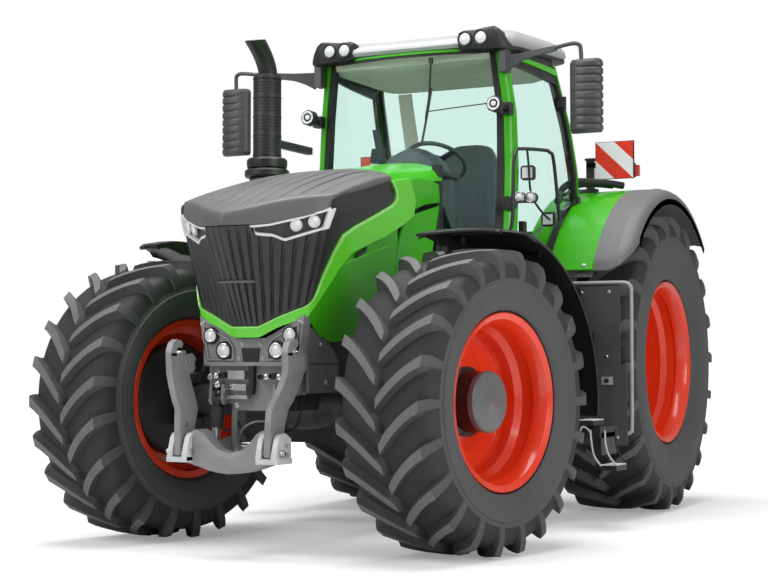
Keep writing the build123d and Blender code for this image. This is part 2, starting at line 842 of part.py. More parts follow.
with BuildPart() as front_lift_frame:
    # the cast crossbar, waisted in front view
    front_prism(
        (
            (-335, 660),
            (-255, 655),
            (-120, 590),
            (120, 590),
            (255, 655),
            (335, 660),
            (335, 560),
            (200, 520),
            (-200, 520),
            (-335, 560),
        ),
        front_axle_y - 860,
        front_axle_y - 770,
    )
    for side in (1, -1):
        side_prism(
            (
                (front_axle_y - 770, 540),
                (front_axle_y - 770, 640),
                (lift_pivot_y - 50, lift_pivot_z + 46),
                (lift_pivot_y + 20, lift_pivot_z + 52),
                (lift_pivot_y + 54, lift_pivot_z),
                (lift_pivot_y + 20, lift_pivot_z - 52),
                (lift_pivot_y - 60, lift_pivot_z - 60),
            ),
            side * (lift_lug_x + seam),
            side * (lift_lug_x + 30),
        )
        bar(
            lift_pin_radius + fit_gap,
            (side * lift_lug_x, lift_pivot_y, lift_pivot_z),
            (side * (lift_lug_x + 60), lift_pivot_y, lift_pivot_z),
            mode=Mode.SUBTRACT,
        )
        # lugs for the rods' eyes
        for x in (lift_cylinder_x - 46, lift_cylinder_x + 34):
            side_prism(
                (
                    (front_axle_y - 770, 540),
                    (front_axle_y - 770, 630),
                    (lift_eye_y, lift_eye_z + 30),
                    (lift_eye_y + 30, lift_eye_z),
                    (lift_eye_y, lift_eye_z - 30),
                ),
                side * x,
                side * (x + 12),
            )
        bar(
            16,
            (side * (lift_cylinder_x - 46), lift_eye_y, lift_eye_z),
            (side * (lift_cylinder_x + 46), lift_eye_y, lift_eye_z),
        )
        # clevis for the folding arm
        for x in (arm_pin_x - arm_thickness / 2 - seam - 18, arm_pin_x + arm_thickness / 2 + seam):
            side_prism(
                (
                    (front_axle_y - 860, 540),
                    (front_axle_y - 860, 665),
                    (arm_pin_y + 20, arm_pin_z + 50),
                    (arm_pin_y - 30, arm_pin_z + 38),
                    (arm_pin_y - 42, arm_pin_z),
                    (arm_pin_y - 30, arm_pin_z - 38),
                ),
                side * x,
                side * (x + 18),
            )
        bar(
            20,
            (side * (arm_pin_x - arm_thickness / 2 - seam - 18), arm_pin_y, arm_pin_z),
            (side * (arm_pin_x + arm_thickness / 2 + seam + 18), arm_pin_y, arm_pin_z),
        )
save(front_lift_frame, "front_lift_frame")

with BuildPart() as front_arm:
    half = arm_thickness / 2
    # front-view strip of the arm: leans outwards to its hook
    front_prism(
        (
            (arm_pin_x - half, arm_pin_z - 36),
            (arm_pin_x + half, arm_pin_z - 36),
            (arm_pin_x + half, 760),
            (470, 1010),
            (470, 1235),
            (470 - arm_thickness, 1235),
            (470 - arm_thickness, 1030),
            (arm_pin_x - half, 800),
        ),
        arm_pin_y - 60,
        arm_pin_y + 90,
    )
    # side-view outline with the open hook at its top
    side_prism(
        (
            (arm_pin_y - 34, arm_pin_z - 36),
            (arm_pin_y + 34, arm_pin_z - 36),
            (arm_pin_y + 40, 760),
            (arm_pin_y + 70, 900),
            (arm_pin_y + 60, 1090),
            (arm_pin_y + 84, 1150),
            (arm_pin_y + 84, 1220),
            (arm_pin_y + 40, 1235),
            (arm_pin_y + 20, 1190),
            (arm_pin_y + 36, 1165),
            (arm_pin_y + 10, 1140),
            (arm_pin_y - 20, 1180),
            (arm_pin_y - 44, 1170),
            (arm_pin_y - 30, 1060),
            (arm_pin_y - 34, 860),
        ),
        200,
        520,
        mode=Mode.INTERSECT,
    )
    bar(20 + fit_gap, (200, arm_pin_y, arm_pin_z), (400, arm_pin_y, arm_pin_z), mode=Mode.SUBTRACT)
for side, hand in ((1, "left"), (-1, "right")):
    place(front_arm, side, (0, 0, 0), 0, f"front_arm_{hand}")

lift_line = Vector(0, lift_eye_y - lift_top_y, lift_eye_z - lift_top_z)
lift_length = lift_line.length
lift_line = lift_line.normalized()


def along_lift(x, distance):
    """A point on a lift cylinder's axis, measured down from its upper pin."""
    return (x, lift_top_y + lift_line.Y * distance, lift_top_z + lift_line.Z * distance)


barrel_length = 165
with BuildPart() as front_lift_barrels:
    for side in (1, -1):
        x = side * lift_cylinder_x
        bar(lift_barrel_radius, along_lift(x, 46), along_lift(x, barrel_length))
        bar(24, (x - 24, lift_top_y, lift_top_z), (x + 24, lift_top_y, lift_top_z))
        slab(x - 20, x + 20, lift_top_y - 22, lift_top_y + 22, lift_top_z - 50, lift_top_z)
        bar(
            18 + fit_gap,
            (x - 60, lift_top_y, lift_top_z),
            (x + 60, lift_top_y, lift_top_z),
            mode=Mode.SUBTRACT,
        )
        bar(
            lift_rod_radius + fit_gap,
            along_lift(x, 60),
            along_lift(x, barrel_length + 1),
            mode=Mode.SUBTRACT,
        )
save(front_lift_barrels, "front_lift_barrels")

with BuildPart() as front_lift_rods:
    for side in (1, -1):
        x = side * lift_cylinder_x
        bar(lift_rod_radius, along_lift(x, 70), along_lift(x, lift_length - 10))
        bar(36, (x - 17, lift_eye_y, lift_eye_z), (x + 17, lift_eye_y, lift_eye_z))
        bar(
            16 + eye_gap,
            (x - 40, lift_eye_y, lift_eye_z),
            (x + 40, lift_eye_y, lift_eye_z),
            mode=Mode.SUBTRACT,
        )
save(front_lift_rods, "front_lift_rods")

# ---- rear linkage -------------------------------------------------------------------------
with BuildPart() as link_shafts:
    for side in (1, -1):
        bar(
            32,
            (side * gearbox_half_width, link_pivot_y, link_pivot_z),
            (side * (link_x + 60), link_pivot_y, link_pivot_z),
        )
        bar(
            46,
            (side * gearbox_half_width, link_pivot_y, link_pivot_z),
            (side * (link_x - 34), link_pivot_y, link_pivot_z),
        )
    slab(-150, 150, link_pivot_y - 70, link_pivot_y + 70, gearbox_top_z - 110 * 70 / 120, rockshaft_z - 55)
    bar(60, (-200, link_pivot_y, rockshaft_z), (200, link_pivot_y, rockshaft_z))
    bar(40, (-lift_arm_x - 40, link_pivot_y, rockshaft_z), (lift_arm_x + 40, link_pivot_y, rockshaft_z))
    add(gearbox.part, mode=Mode.SUBTRACT)
save(link_shafts, "link_shafts")

with BuildPart() as rear_lift_arms:
    for side in (1, -1):
        x = side * lift_arm_x
        tip_y = link_pivot_y + lift_arm_reach
        side_prism(
            (
                (link_pivot_y - 50, rockshaft_z - 50),
                (link_pivot_y - 50, rockshaft_z + 50),
                (link_pivot_y + 50, rockshaft_z + 62),
                (tip_y + 34, rockshaft_z + 34),
                (tip_y + 34, rockshaft_z - 34),
                (link_pivot_y + 50, rockshaft_z - 62),
            ),
            x - 28,
            x + 28,
        )
        bar(18, (x, tip_y, rockshaft_z), (side * (link_x + 30), tip_y, rockshaft_z))
    for side in (1, -1):
        bar(
            40 + fit_gap,
            (side * (lift_arm_x - 60), link_pivot_y, rockshaft_z),
            (side * (lift_arm_x + 60), link_pivot_y, rockshaft_z),
            mode=Mode.SUBTRACT,
        )
save(rear_lift_arms, "rear_lift_arms")

with BuildPart() as rear_lift_rods:
    tip_y = link_pivot_y + lift_arm_reach
    for side in (1, -1):
        x = side * link_x
        bar(22, (x, tip_y, link_pivot_z + 46), (x, tip_y, rockshaft_z - 30))
        bar(34, (x, tip_y, link_pivot_z + 230), (x, tip_y, rockshaft_z - 190))
        for z in (link_pivot_z, rockshaft_z):
            bar(40, (x - 22, tip_y, z), (x + 22, tip_y, z))
        slab(x - 22, x + 22, tip_y - 20, tip_y + 20, rockshaft_z - 60, rockshaft_z)
        slab(x - 22, x + 22, tip_y - 20, tip_y + 20, link_pivot_z, link_pivot_z + 60)
        bar(18 + fit_gap, (x - 60, tip_y, rockshaft_z), (x + 60, tip_y, rockshaft_z), mode=Mode.SUBTRACT)
        bar(18 + eye_gap, (x - 60, tip_y, link_pivot_z), (x + 60, tip_y, link_pivot_z), mode=Mode.SUBTRACT)
save(rear_lift_rods, "rear_lift_rods")

with BuildPart() as rear_lower_links:
    tip_y = link_pivot_y + lift_arm_reach
    end_y = link_pivot_y + link_reach
    for side in (1, -1):
        x = side * link_x
        side_prism(
            (
                (link_pivot_y - 48, link_pivot_z - 46),
                (link_pivot_y - 48, link_pivot_z + 46),
                (tip_y, link_pivot_z + 58),
                (end_y - 60, link_pivot_z + 48),
                (end_y - 30, link_pivot_z + 62),
                (end_y + 42, link_pivot_z + 40),
                (end_y + 42, link_pivot_z - 40),
                (end_y, link_pivot_z - 60),
                (end_y - 60, link_pivot_z - 48),
                (tip_y, link_pivot_z - 58),
            ),
            x - 28,
            x + 28,
        )
        # slot for the lift rod's lower eye, and its pin
        slab(
            x - 29,
            x + 29,
            tip_y - 52,
            tip_y + 52,
            link_pivot_z - 70,
            link_pivot_z + 70,
            mode=Mode.SUBTRACT,
        )
        for cheek in (x - 46, x + 34):
            slab(cheek, cheek + 12, tip_y - 90, tip_y + 90, link_pivot_z - 46, link_pivot_z + 46)
        for near in (tip_y - 90, tip_y + 52):
            slab(x - 46, x + 46, near, near + 38, link_pivot_z - 46, link_pivot_z + 46)
        bar(18, (x - 46, tip_y, link_pivot_z), (x + 46, tip_y, link_pivot_z))
        bar(
            32 + fit_gap,
            (x - 60, link_pivot_y, link_pivot_z),
            (x + 60, link_pivot_y, link_pivot_z),
            mode=Mode.SUBTRACT,
        )
        bar(28, (x - 60, end_y, link_pivot_z), (x + 60, end_y, link_pivot_z), mode=Mode.SUBTRACT)
save(rear_lower_links, "rear_lower_links")

back_plate_y = gearbox_rear_y + 90
top_pin_y = back_plate_y + 60
with BuildPart() as top_link_bracket:
    slab(-120, 120, gearbox_rear_y, back_plate_y, gearbox_top_z - 260, top_link_z + 60)
    for x in (-46, 28):
        slab(x, x + 18, back_plate_y, top_pin_y + 36, top_link_z - 60, top_link_z + 60)
    bar(16, (-46, top_pin_y, top_link_z), (46, top_pin_y, top_link_z))
    add(gearbox.part, mode=Mode.SUBTRACT)
save(top_link_bracket, "top_link_bracket")

with BuildPart() as top_link:
    bar(34, (-22, top_pin_y, top_link_z), (22, top_pin_y, top_link_z))
    bar(22, (0, top_pin_y + 20, top_link_z), (0, top_pin_y + top_link_length - 20, top_link_z))
    bar(36, (0, top_pin_y + 170, top_link_z), (0, top_pin_y + top_link_length - 170, top_link_z))
    bar(38, (-22, top_pin_y + top_link_length, top_link_z), (22, top_pin_y + top_link_length, top_link_z))
    bar(16 + fit_gap, (-60, top_pin_y, top_link_z), (60, top_pin_y, top_link_z), mode=Mode.SUBTRACT)
    bar(
        16,
        (-60, top_pin_y + top_link_length, top_link_z),
        (60, top_pin_y + top_link_length, top_link_z),
        mode=Mode.SUBTRACT,
    )
save(top_link, "top_link")

with BuildPart() as tow_hitch:
    slab(-80, 80, gearbox_rear_y, gearbox_rear_y + 240, 540, gearbox_bottom_z + 60)
    slab(-81, 81, gearbox_rear_y + 110, gearbox_rear_y + 241, 585, 655, mode=Mode.SUBTRACT)
    bar(16, (0, gearbox_rear_y + 180, 530), (0, gearbox_rear_y + 180, 720), mode=Mode.SUBTRACT)
    add(gearbox.part, mode=Mode.SUBTRACT)
save(tow_hitch, "tow_hitch")

# ---- rear fenders -------------------------------------------------------------------------
fender_outer_radius = rear_fender_radius + rear_fender_wall
fender_axis = ((-2000, rear_fender_y, rear_fender_z), (2000, rear_fender_y, rear_fender_z))


def fender_arc(x0, x1):
    """The fender's arched sheet between two distances from the middle, on both sides."""
    with BuildSketch(Plane.YZ) as strip:
        with BuildLine():
            # angles run from the rear level, over the top, to the front edge
            start = 180 - rear_fender_end
            sweep_angle = rear_fender_end - rear_fender_start
            centre = (rear_fender_y, rear_fender_z)
            inside = CenterArc(centre, rear_fender_radius, start, sweep_angle)
            outside = CenterArc(centre, fender_outer_radius, start, sweep_angle)
            Line(inside @ 0, outside @ 0)
            Line(inside @ 1, outside @ 1)
        make_face()
    sheet = Part() + extrude(strip.sketch, amount=x1 - x0, mode=Mode.PRIVATE)
    for side in (1, -1):
        add(Location((x0 if side > 0 else -x1, 0, 0)) * sheet)


with BuildPart() as fender_cheeks:
    # the fenders' inner walls, above the cab floor
    for side in (1, -1):
        x = side * rear_fender_inner_x
        bar(
            fender_outer_radius,
            (x, rear_fender_y, rear_fender_z),
            (x - side * rear_fender_wall, rear_fender_y, rear_fender_z),
        )
    slab(
        -fender_join_x,
        fender_join_x,
        rear_fender_y - 0.9 * rear_fender_radius,
        rear_fender_y + 0.65 * rear_fender_radius,
        cab_floor_z,
        rear_fender_z + 2 * rear_fender_radius,
        mode=Mode.INTERSECT,
    )

with BuildPart() as rear_fenders:
    fender_arc(rear_fender_inner_x, fender_join_x)
    add(fender_cheeks.part)
save(rear_fenders, "rear_fenders")

with BuildPart() as fender_lips:
    # a turned-down edge along the outside
    for radius, mode in (
        (rear_fender_radius + 1, Mode.ADD),
        (rear_fender_radius - lip_depth, Mode.SUBTRACT),
    ):
        for side in (1, -1):
            x = side * rear_fender_outer_x
            bar(
                radius,
                (x, rear_fender_y, rear_fender_z),
                (x - side * lip_wall, rear_fender_y, rear_fender_z),
                mode=mode,
            )
    slab(
        -rear_fender_outer_x,
        rear_fender_outer_x,
        rear_fender_y - 0.87 * rear_fender_radius,
        rear_fender_y + 0.71 * rear_fender_radius,
        rear_fender_z + 0.5 * rear_fender_radius,
        rear_fender_z + 2 * rear_fender_radius,
        mode=Mode.INTERSECT,
    )

with BuildPart() as fender_extensions:
    fender_arc(fender_join_x, rear_fender_outer_x)
    add(fender_lips.part)
save(fender_extensions, "fender_extensions")


# ---- cab ----------------------------------------------------------------------------------
def cab_solid(inset):
    """The cab's outer form, drawn in by an inset on its sides."""
    with BuildPart() as form:
        for z, half, corner, bulge, rear in cab_stations:
            w = half - inset
            y0 = cab_datum_y + corner + inset
            y1 = cab_datum_y + rear - inset
            with BuildSketch(Plane.XY.offset(z)):
                with BuildLine():
                    ThreePointArc((w, y0), (0, y0 - bulge), (-w, y0))
                    Polyline((-w, y0), (-w, y1), (w, y1), (w, y0))
                make_face()
        loft(ruled=True)
    return form.part


def cut_wheelhouses(mode=Mode.SUBTRACT):
    """Take the rear wheels' space, up to the fenders' outer face, from the current piece."""
    for side in (1, -1):
        x = side * (rear_fender_inner_x - rear_fender_wall)
        bar(
            fender_outer_radius,
            (x, rear_fender_y, rear_fender_z),
            (x + side * 900, rear_fender_y, rear_fender_z),
            mode=mode,
        )


windscreen_outline = (
    (-690, 1750),
    (-730, cab_waist_z),
    (-600, cab_eave_z - 85),
    (600, cab_eave_z - 85),
    (730, cab_waist_z),
    (690, 1750),
)
rear_outline = ((-560, 1900), (-560, cab_eave_z - 110), (560, cab_eave_z - 110), (560, 1900))
front_window_y = (cab_datum_y + 1100, cab_datum_y + 1800)
rear_window_y = (cab_datum_y + 2560, cab_datum_y + 2900)
cab_outer = cab_solid(0)
cab_inner = cab_solid(cab_wall)
cab_skin = cab_solid(glass_inset) - cab_solid(glass_inset + glass_thickness)
door_points = from_cab(door_outline)

with BuildPart() as cab_frame:
    add(cab_outer)
    add(cab_inner, mode=Mode.SUBTRACT)
    front_prism(windscreen_outline, *front_window_y, mode=Mode.SUBTRACT)
    front_prism(rear_outline, *rear_window_y, mode=Mode.SUBTRACT)
    side_prism(door_points, 500, 1000, mode=Mode.SUBTRACT)
    side_prism(door_points, -1000, -500, mode=Mode.SUBTRACT, grow=-door_frame_width)
    cut_wheelhouses()
    for z in door_hinge_heights:
        slab(690, door_hinge_x + 22, door_hinge_y - 18, door_hinge_y + 40, z - door_hinge_height, z)
        bar(
            door_hinge_pin,
            (door_hinge_x, door_hinge_y, z),
            (door_hinge_x, door_hinge_y, z + door_hinge_height),
        )
    add(cab_inner, mode=Mode.SUBTRACT)
save(cab_frame, "cab_frame")

with BuildPart() as windscreen:
    add(cab_skin)
    front_prism(windscreen_outline, *front_window_y, mode=Mode.INTERSECT)
save(windscreen, "windscreen")

with BuildPart() as side_window:
    side_prism(door_points, -1000, -500, grow=-door_frame_width)
    cut_wheelhouses()

with BuildPart() as rear_window:
    front_prism(rear_outline, *rear_window_y)

with BuildPart() as cab_glass:
    add(cab_skin)
    add(side_window.part + rear_window.part, mode=Mode.INTERSECT)
save(cab_glass, "cab_glass")

with BuildPart() as cab_door:
    add(cab_outer)
    add(cab_inner, mode=Mode.SUBTRACT)
    side_prism(door_points, 500, 1000, mode=Mode.INTERSECT, grow=-seam)
    side_prism(door_points, 500, 1000, mode=Mode.SUBTRACT, grow=-door_frame_width)
    tube_run(
        15,
        60,
        (
            (780, cab_datum_y + 1500, cab_waist_z - 120),
            (892, cab_datum_y + 1500, cab_waist_z - 100),
            (892, cab_datum_y + 1530, cab_waist_z + 290),
            (892, cab_datum_y + 2040, cab_waist_z + 350),
            (892, cab_datum_y + 2160, cab_waist_z - 50),
            (780, cab_datum_y + 2160, cab_waist_z - 55),
        ),
    )
    for z in door_hinge_heights:
        z0 = z + seam / 3
        z1 = z + door_hinge_height
        slab(700, door_hinge_x + 20, door_hinge_y - 80, door_hinge_y - 38, z0, z1)
        slab(door_hinge_x - 18, door_hinge_x + 20, door_hinge_y - 60, door_hinge_y, z0, z1)
        bar(door_hinge_eye, (door_hinge_x, door_hinge_y, z0), (door_hinge_x, door_hinge_y, z1))
        bar(
            door_hinge_pin + fit_gap,
            (door_hinge_x, door_hinge_y, z),
            (door_hinge_x, door_hinge_y, z1),
            mode=Mode.SUBTRACT,
        )
    add(cab_inner, mode=Mode.SUBTRACT)
    cut_wheelhouses()
save(cab_door, "cab_door")

with BuildPart() as door_glass:
    add(cab_skin)
    side_prism(door_points, 500, 1000, mode=Mode.INTERSECT, grow=-door_frame_width)
    add(cab_door.part, mode=Mode.SUBTRACT)
    cut_wheelhouses()
save(door_glass, "door_glass")

mount_spots = [(x, cab_datum_y + y) for x in (-190, 190) for y in (1560, 2480)]
with BuildPart() as cab_floor:
    add(cab_inner)
    slab(
        -900,
        900,
        cab_datum_y,
        rear_axle_y + 900,
        cab_floor_z,
        cab_floor_z + cab_floor_thickness,
        mode=Mode.INTERSECT,
    )
    cut_wheelhouses()
    for x, y in mount_spots:
        bar(55, (x, y, gearbox_top_z), (x, y, cab_floor_z))
save(cab_floor, "cab_floor")
floor_z = cab_floor_z + cab_floor_thickness
column_start = Vector(0, cab_datum_y + 1696, 2190)  # on the dashboard's sloping face
column_line = Vector(0, 120, 190).normalized()
column_radius = 34
column_reach = 120
column_length = 210
column_pin = 14
steering_boss_radius = 55
steering_wheel_radius = 205

roof_stations = (  # height, half width, front y, rear y, corner radius
    (cab_eave_z, 765, 1390, 2820, 120),
    (cab_eave_z + 110, 795, 1325, 2860, 140),
    (cab_eave_z + 260, 780, 1345, 2840, 160),
    (cab_eave_z + 345, 640, 1500, 2720, 160),
    (cab_eave_z + 375, 420, 1700, 2500, 160),
)
with BuildPart() as cab_roof:
    for z, half, front, rear, corner in roof_stations:
        with BuildSketch(Plane.XY.offset(z)):
            with Locations((0, cab_datum_y + (front + rear) / 2)):
                RectangleRounded(2 * half, rear - front, corner)
    loft(ruled=True)
save(cab_roof, "cab_roof")

with BuildPart() as dashboard:
    # the column leaves its sloping face squarely, and is bored for the wheel's shaft
    side_prism(
        from_cab(
            ((1500, floor_z), (1500, 2080), (1560, 2240), (1640, 2226), (1752, 2155), (1700, floor_z))
        ),
        -230,
        230,
    )
    bar(
        column_radius,
        tuple(column_start - column_line * 30),
        tuple(column_start + column_line * column_reach),
    )
    bar(
        column_pin + fit_gap,
        tuple(column_start),
        tuple(column_start + column_line * (column_reach + 1)),
        mode=Mode.SUBTRACT,
    )
save(dashboard, "dashboard")

wheel_centre = column_start + column_line * column_length
with BuildPart() as steering_wheel:
    bar(column_pin, tuple(column_start + column_line * seam), tuple(wheel_centre))
    bar(
        steering_boss_radius,
        tuple(column_start + column_line * (column_reach + seam)),
        tuple(wheel_centre + column_line * 8),
    )
    with Locations(Plane(origin=tuple(wheel_centre), z_dir=tuple(column_line))):
        Torus(steering_wheel_radius, 16)
        for angle in (90, 210, 330):
            with Locations(Rotation(0, 0, angle)):
                with Locations((steering_wheel_radius / 2 + 22, 0, 0)):
                    Box(steering_wheel_radius - 55, 34, 12)
save(steering_wheel, "steering_wheel")

with BuildPart() as seat:
    side_prism(from_cab(((2100, floor_z), (2130, 1900), (2430, 1900), (2460, floor_z))), -190, 190)
    side_prism(from_cab(((2000, 1920), (2020, 2020), (2480, 1990), (2480, 1900), (2100, 1900))), -255, 255)
    side_prism(from_cab(((2400, 1990), (2480, 2560), (2600, 2560), (2570, 1960), (2480, 1900))), -245, 245)
    side_prism(from_cab(((2492, 2560), (2510, 2760), (2590, 2760), (2590, 2560))), -140, 140)
save(seat, "seat")

with BuildPart() as console:
    slab(-570, -320, cab_datum_y + 1980, cab_datum_y + 2600, floor_z, 2010)
    side_prism(from_cab(((1900, 2080), (1900, 2160), (2480, 2190), (2480, 2010), (2050, 2010))), -450, -300)
    slab(-470, -440, cab_datum_y + 1900, cab_datum_y + 1990, 2100, 2330)
    slab(-540, -280, cab_datum_y + 1870, cab_datum_y + 1900, 2230, 2430)
save(console, "console")

# ---- exhaust, mirrors, lamps, boards ------------------------------------------------------
exhaust_x = -720
exhaust_y = cab_datum_y + 750
canister_z = 1960
guard_z = 2440
guard_top_z = 3075
tip_z = 3300
guard_bands = 5
with BuildPart() as exhaust:
    bar(120, (exhaust_x, exhaust_y, canister_z), (exhaust_x, exhaust_y, guard_z))
    bar(138, (exhaust_x, exhaust_y, guard_z), (exhaust_x, exhaust_y, guard_z + 60))
    bar(95, (exhaust_x, exhaust_y, guard_z + 60), (exhaust_x, exhaust_y, guard_top_z))
    for k in range(guard_bands):
        # rolled bands round the heat guard
        z = guard_z + 75 + (guard_top_z - guard_z - 95) * k / (guard_bands - 1)
        bar(99, (exhaust_x, exhaust_y, z), (exhaust_x, exhaust_y, z + 14))
    tube_run(
        64,
        150,
        (
            (exhaust_x, exhaust_y, guard_top_z - 75),
            (exhaust_x, exhaust_y, guard_top_z + 55),
            (exhaust_x, exhaust_y - 210, tip_z),
        ),
    )
    # the tail pipe is open at its tip
    bar(
        57,
        (exhaust_x, exhaust_y - 110, tip_z - 107),
        (exhaust_x, exhaust_y - 320, tip_z + 118),
        mode=Mode.SUBTRACT,
    )
    for z in (canister_z + 90, canister_z + 370):
        slab(exhaust_x - 22, exhaust_x + 22, exhaust_y + 100, cab_datum_y + 1400, z, z + 60)
    add(cab_outer, mode=Mode.SUBTRACT)
save(exhaust, "exhaust")

mirror_foot = 520  # below the eave
mirror_head = 50
mirror_ribs = 9
mirror_rib_pitch = 38
with BuildPart() as mirrors:
    for side in (1, -1):
        slab(side * 712, side * 752, cab_datum_y + 1400, cab_datum_y + 1470, cab_eave_z - 60, cab_eave_z)
        tube_run(
            17,
            60,
            (
                (side * 735, cab_datum_y + 1440, cab_eave_z - 30),
                (side * 1060, cab_datum_y + 1290, cab_eave_z + 20),
                (side * 1340, cab_datum_y + 1270, cab_eave_z + 40),
                (side * 1345, cab_datum_y + 1345, cab_eave_z + 30),
                (side * 1345, cab_datum_y + 1350, cab_eave_z - 80),
            ),
        )
        plan_prism(
            (
                (side * 1235, cab_datum_y + 1375),
                (side * 1240, cab_datum_y + 1345),
                (side * 1268, cab_datum_y + 1320),
                (side * 1420, cab_datum_y + 1312),
                (side * 1450, cab_datum_y + 1335),
                (side * 1456, cab_datum_y + 1375),
            ),
            cab_eave_z - mirror_foot,
            cab_eave_z - mirror_head,
        )
        for k in range(mirror_ribs):
            z = cab_eave_z - mirror_foot + 70 + k * mirror_rib_pitch
            slab(
                side * 1225,
                side * 1470,
                cab_datum_y + 1300,
                cab_datum_y + 1322,
                z,
                z + 8,
                mode=Mode.SUBTRACT,
            )
    add(cab_outer, mode=Mode.SUBTRACT)
    add(cab_roof.part, mode=Mode.SUBTRACT)
save(mirrors, "mirrors")

pillar_lamp_z = cab_eave_z - 289
roof_lamp_y = cab_datum_y + 1240
with BuildPart() as work_lamps:
    for side in (1, -1):
        slab(side * 420, side * 740, roof_lamp_y, cab_datum_y + 1400, cab_eave_z + 115, cab_eave_z + 262)
        for x in (505, 655):
            lens_z = cab_eave_z + 188
            bar(54, (side * x, roof_lamp_y + 1, lens_z), (side * x, roof_lamp_y - 9, lens_z))
        bar(
            58,
            (side * 712, cab_datum_y + 1270, pillar_lamp_z),
            (side * 712, cab_datum_y + 1340, pillar_lamp_z),
        )
        slab(
            side * 690,
            side * 734,
            cab_datum_y + 1330,
            cab_datum_y + 1520,
            pillar_lamp_z - 21,
            pillar_lamp_z + 21,
        )
    add(cab_outer, mode=Mode.SUBTRACT)
    add(cab_roof.part, mode=Mode.SUBTRACT)
save(work_lamps, "work_lamps")

with BuildPart() as bracket_lamps:
    for side in (1, -1):
        for x, z in ((177, bracket_z + 275), (269, bracket_z + 362)):
            bar(40, (side * x, bracket_front - 26, z), (side * x, bracket_front, z))
save(bracket_lamps, "bracket_lamps")

board_y = rear_axle_y - 320
board_z = rear_fender_z + fender_outer_radius + 69
with BuildPart() as warning_boards:
    for side in (1, -1):
        slab(side * 850, side * 1160, board_y, board_y + 10, board_z, board_z + 280)
        slab(side * 990, side * 1030, board_y + 10, board_y + 40, board_z - 175, board_z + 195)
    bar(fender_outer_radius, *fender_axis, mode=Mode.SUBTRACT)
save(warning_boards, "warning_boards")

tail_angle = radians(180 - rear_fender_end + 4)
tail_line = Vector(0, cos(tail_angle), sin(tail_angle))
tail_spot = Vector(0, rear_fender_y, rear_fender_z) + tail_line * (fender_outer_radius - 10)
with BuildPart() as tail_lamps:
    for side in (1, -1):
        seat_point = tail_spot + Vector(side * 1205, 0, 0)
        with Locations(Plane(origin=seat_point, x_dir=(1, 0, 0), z_dir=tail_line)):
            Box(250, 115, 75, align=(Align.CENTER, Align.CENTER, Align.MIN))
    bar(fender_outer_radius, *fender_axis, mode=Mode.SUBTRACT)
save(tail_lamps, "tail_lamps")


# ---- bonnet -------------------------------------------------------------------------------
def bonnet_corner(k, z):
    """The k-th corner of the bonnet's plan at a height, on the tractor's left."""
    x, lean, y, sweep = bonnet_plan[k]
    rise = z - bonnet_lift - bonnet_plan_z[k]
    return (x + lean * rise, front_axle_y + y + sweep * rise)


def bonnet_front(share, z):
    """A place on the bonnet's front at a height, a share of the way from its middle to its corner."""
    bend = 0.3
    if share < bend:
        start, end, part = bonnet_corner(0, z), bonnet_corner(1, z), share / bend
    else:
        start, end, part = bonnet_corner(1, z), bonnet_corner(2, z), (share - bend) / (1 - bend)
    return tuple(a + (b - a) * part for a, b in zip(start, end)) + (z,)


def bonnet_solid(inset):
    """The bonnet's outer form, drawn in by an inset all round."""
    with BuildPart() as form:
        # the wall leans and twists between two plans
        for z in (bonnet_foot_z, bonnet_head_z):
            left = [bonnet_corner(k, z) for k in range(len(bonnet_plan))]
            right = [(-x, y) for x, y in reversed(left[1:])]
            with BuildSketch(Plane.XY.offset(z)):
                with BuildLine():
                    Polyline(*left, *right, close=True)
                make_face()
                if inset:
                    offset(amount=-inset, kind=Kind.INTERSECTION)
        loft(ruled=True)
    with BuildPart() as roof:
        for y, crown, fall in bonnet_top:
            w = bonnet_shoulder_x
            c = bonnet_lift + crown - inset
            half = (
                (0.42 * w, c - 0.12 * fall),
                (0.74 * w, c - 0.48 * fall),
                (0.93 * w, c - 0.85 * fall),
                (w - inset, c - fall - 22),
                (w + 30 - inset, c - fall - 70),
                (w + 300, c - fall - 400),
            )
            with BuildSketch(Plane.XZ.offset(-(front_axle_y + y))):
                with BuildLine():
                    Polyline(
                        (0, c),
                        *half,
                        (w + 300, bonnet_foot_z - 150),
                        (-w - 300, bonnet_foot_z - 150),
                        *[(-x, z) for x, z in reversed(half)],
                        close=True,
                    )
                make_face()
        loft(ruled=True)
    form_part = form.part & roof.part
    brow_line = Vector(0, -0.815, 0.58).normalized()
    brow = Plane(
        origin=Vector(0, front_axle_y - 978, bonnet_lift + 1894) - brow_line * inset,
        z_dir=brow_line,
    )
    with BuildSketch(brow) as brow_cut:
        Rectangle(2000, 1000)
    return form_part - extrude(brow_cut.sketch, amount=800)


# outlines of (y behind the front axle, z), (x, z) or (x, y behind the front axle)
chin = both_sides(((92, 1267), (376, 1378), (700, 1500), (700, 1000)))
skirt = (
    (-613, 900),
    (-613, 1376),
    (-450, 1275),
    (-300, 1235),
    (-100, 1260),
    (150, 1340),
    (400, 1510),
    (1300, 1600),
)
rear_cut = ((1180, 2330), (1010, 2330), (930, 2185), (850, 1960), (800, 1400), (2000, 1400), (2000, 2330))
rear_curve = both_sides(((250, 1150), (446, 1010), (600, 1010), (600, 1400)))
band_inner = (
    (corner_y, 1447),
    (-600, 1478),
    (-560, 1624),
    (-498, 1758),
    (-430, 1862),
    (-294, 1923),
    (-29, 2015),
    (180, 2088),
    (232, 2125),
    (225, 2170),
    (145, 2232),
)
band_outer = (
    (385, 2272),
    (500, 2150),
    (490, 2050),
    (330, 1975),
    (80, 1885),
    (-160, 1815),
    (-300, 1770),
    (-404, 1688),
    (-500, 1560),
    (-585, 1440),
    (corner_y, 1378),
)
chin_band = both_sides(((90, 1327), (376, 1447), (900, 1667), (900, 1000)))
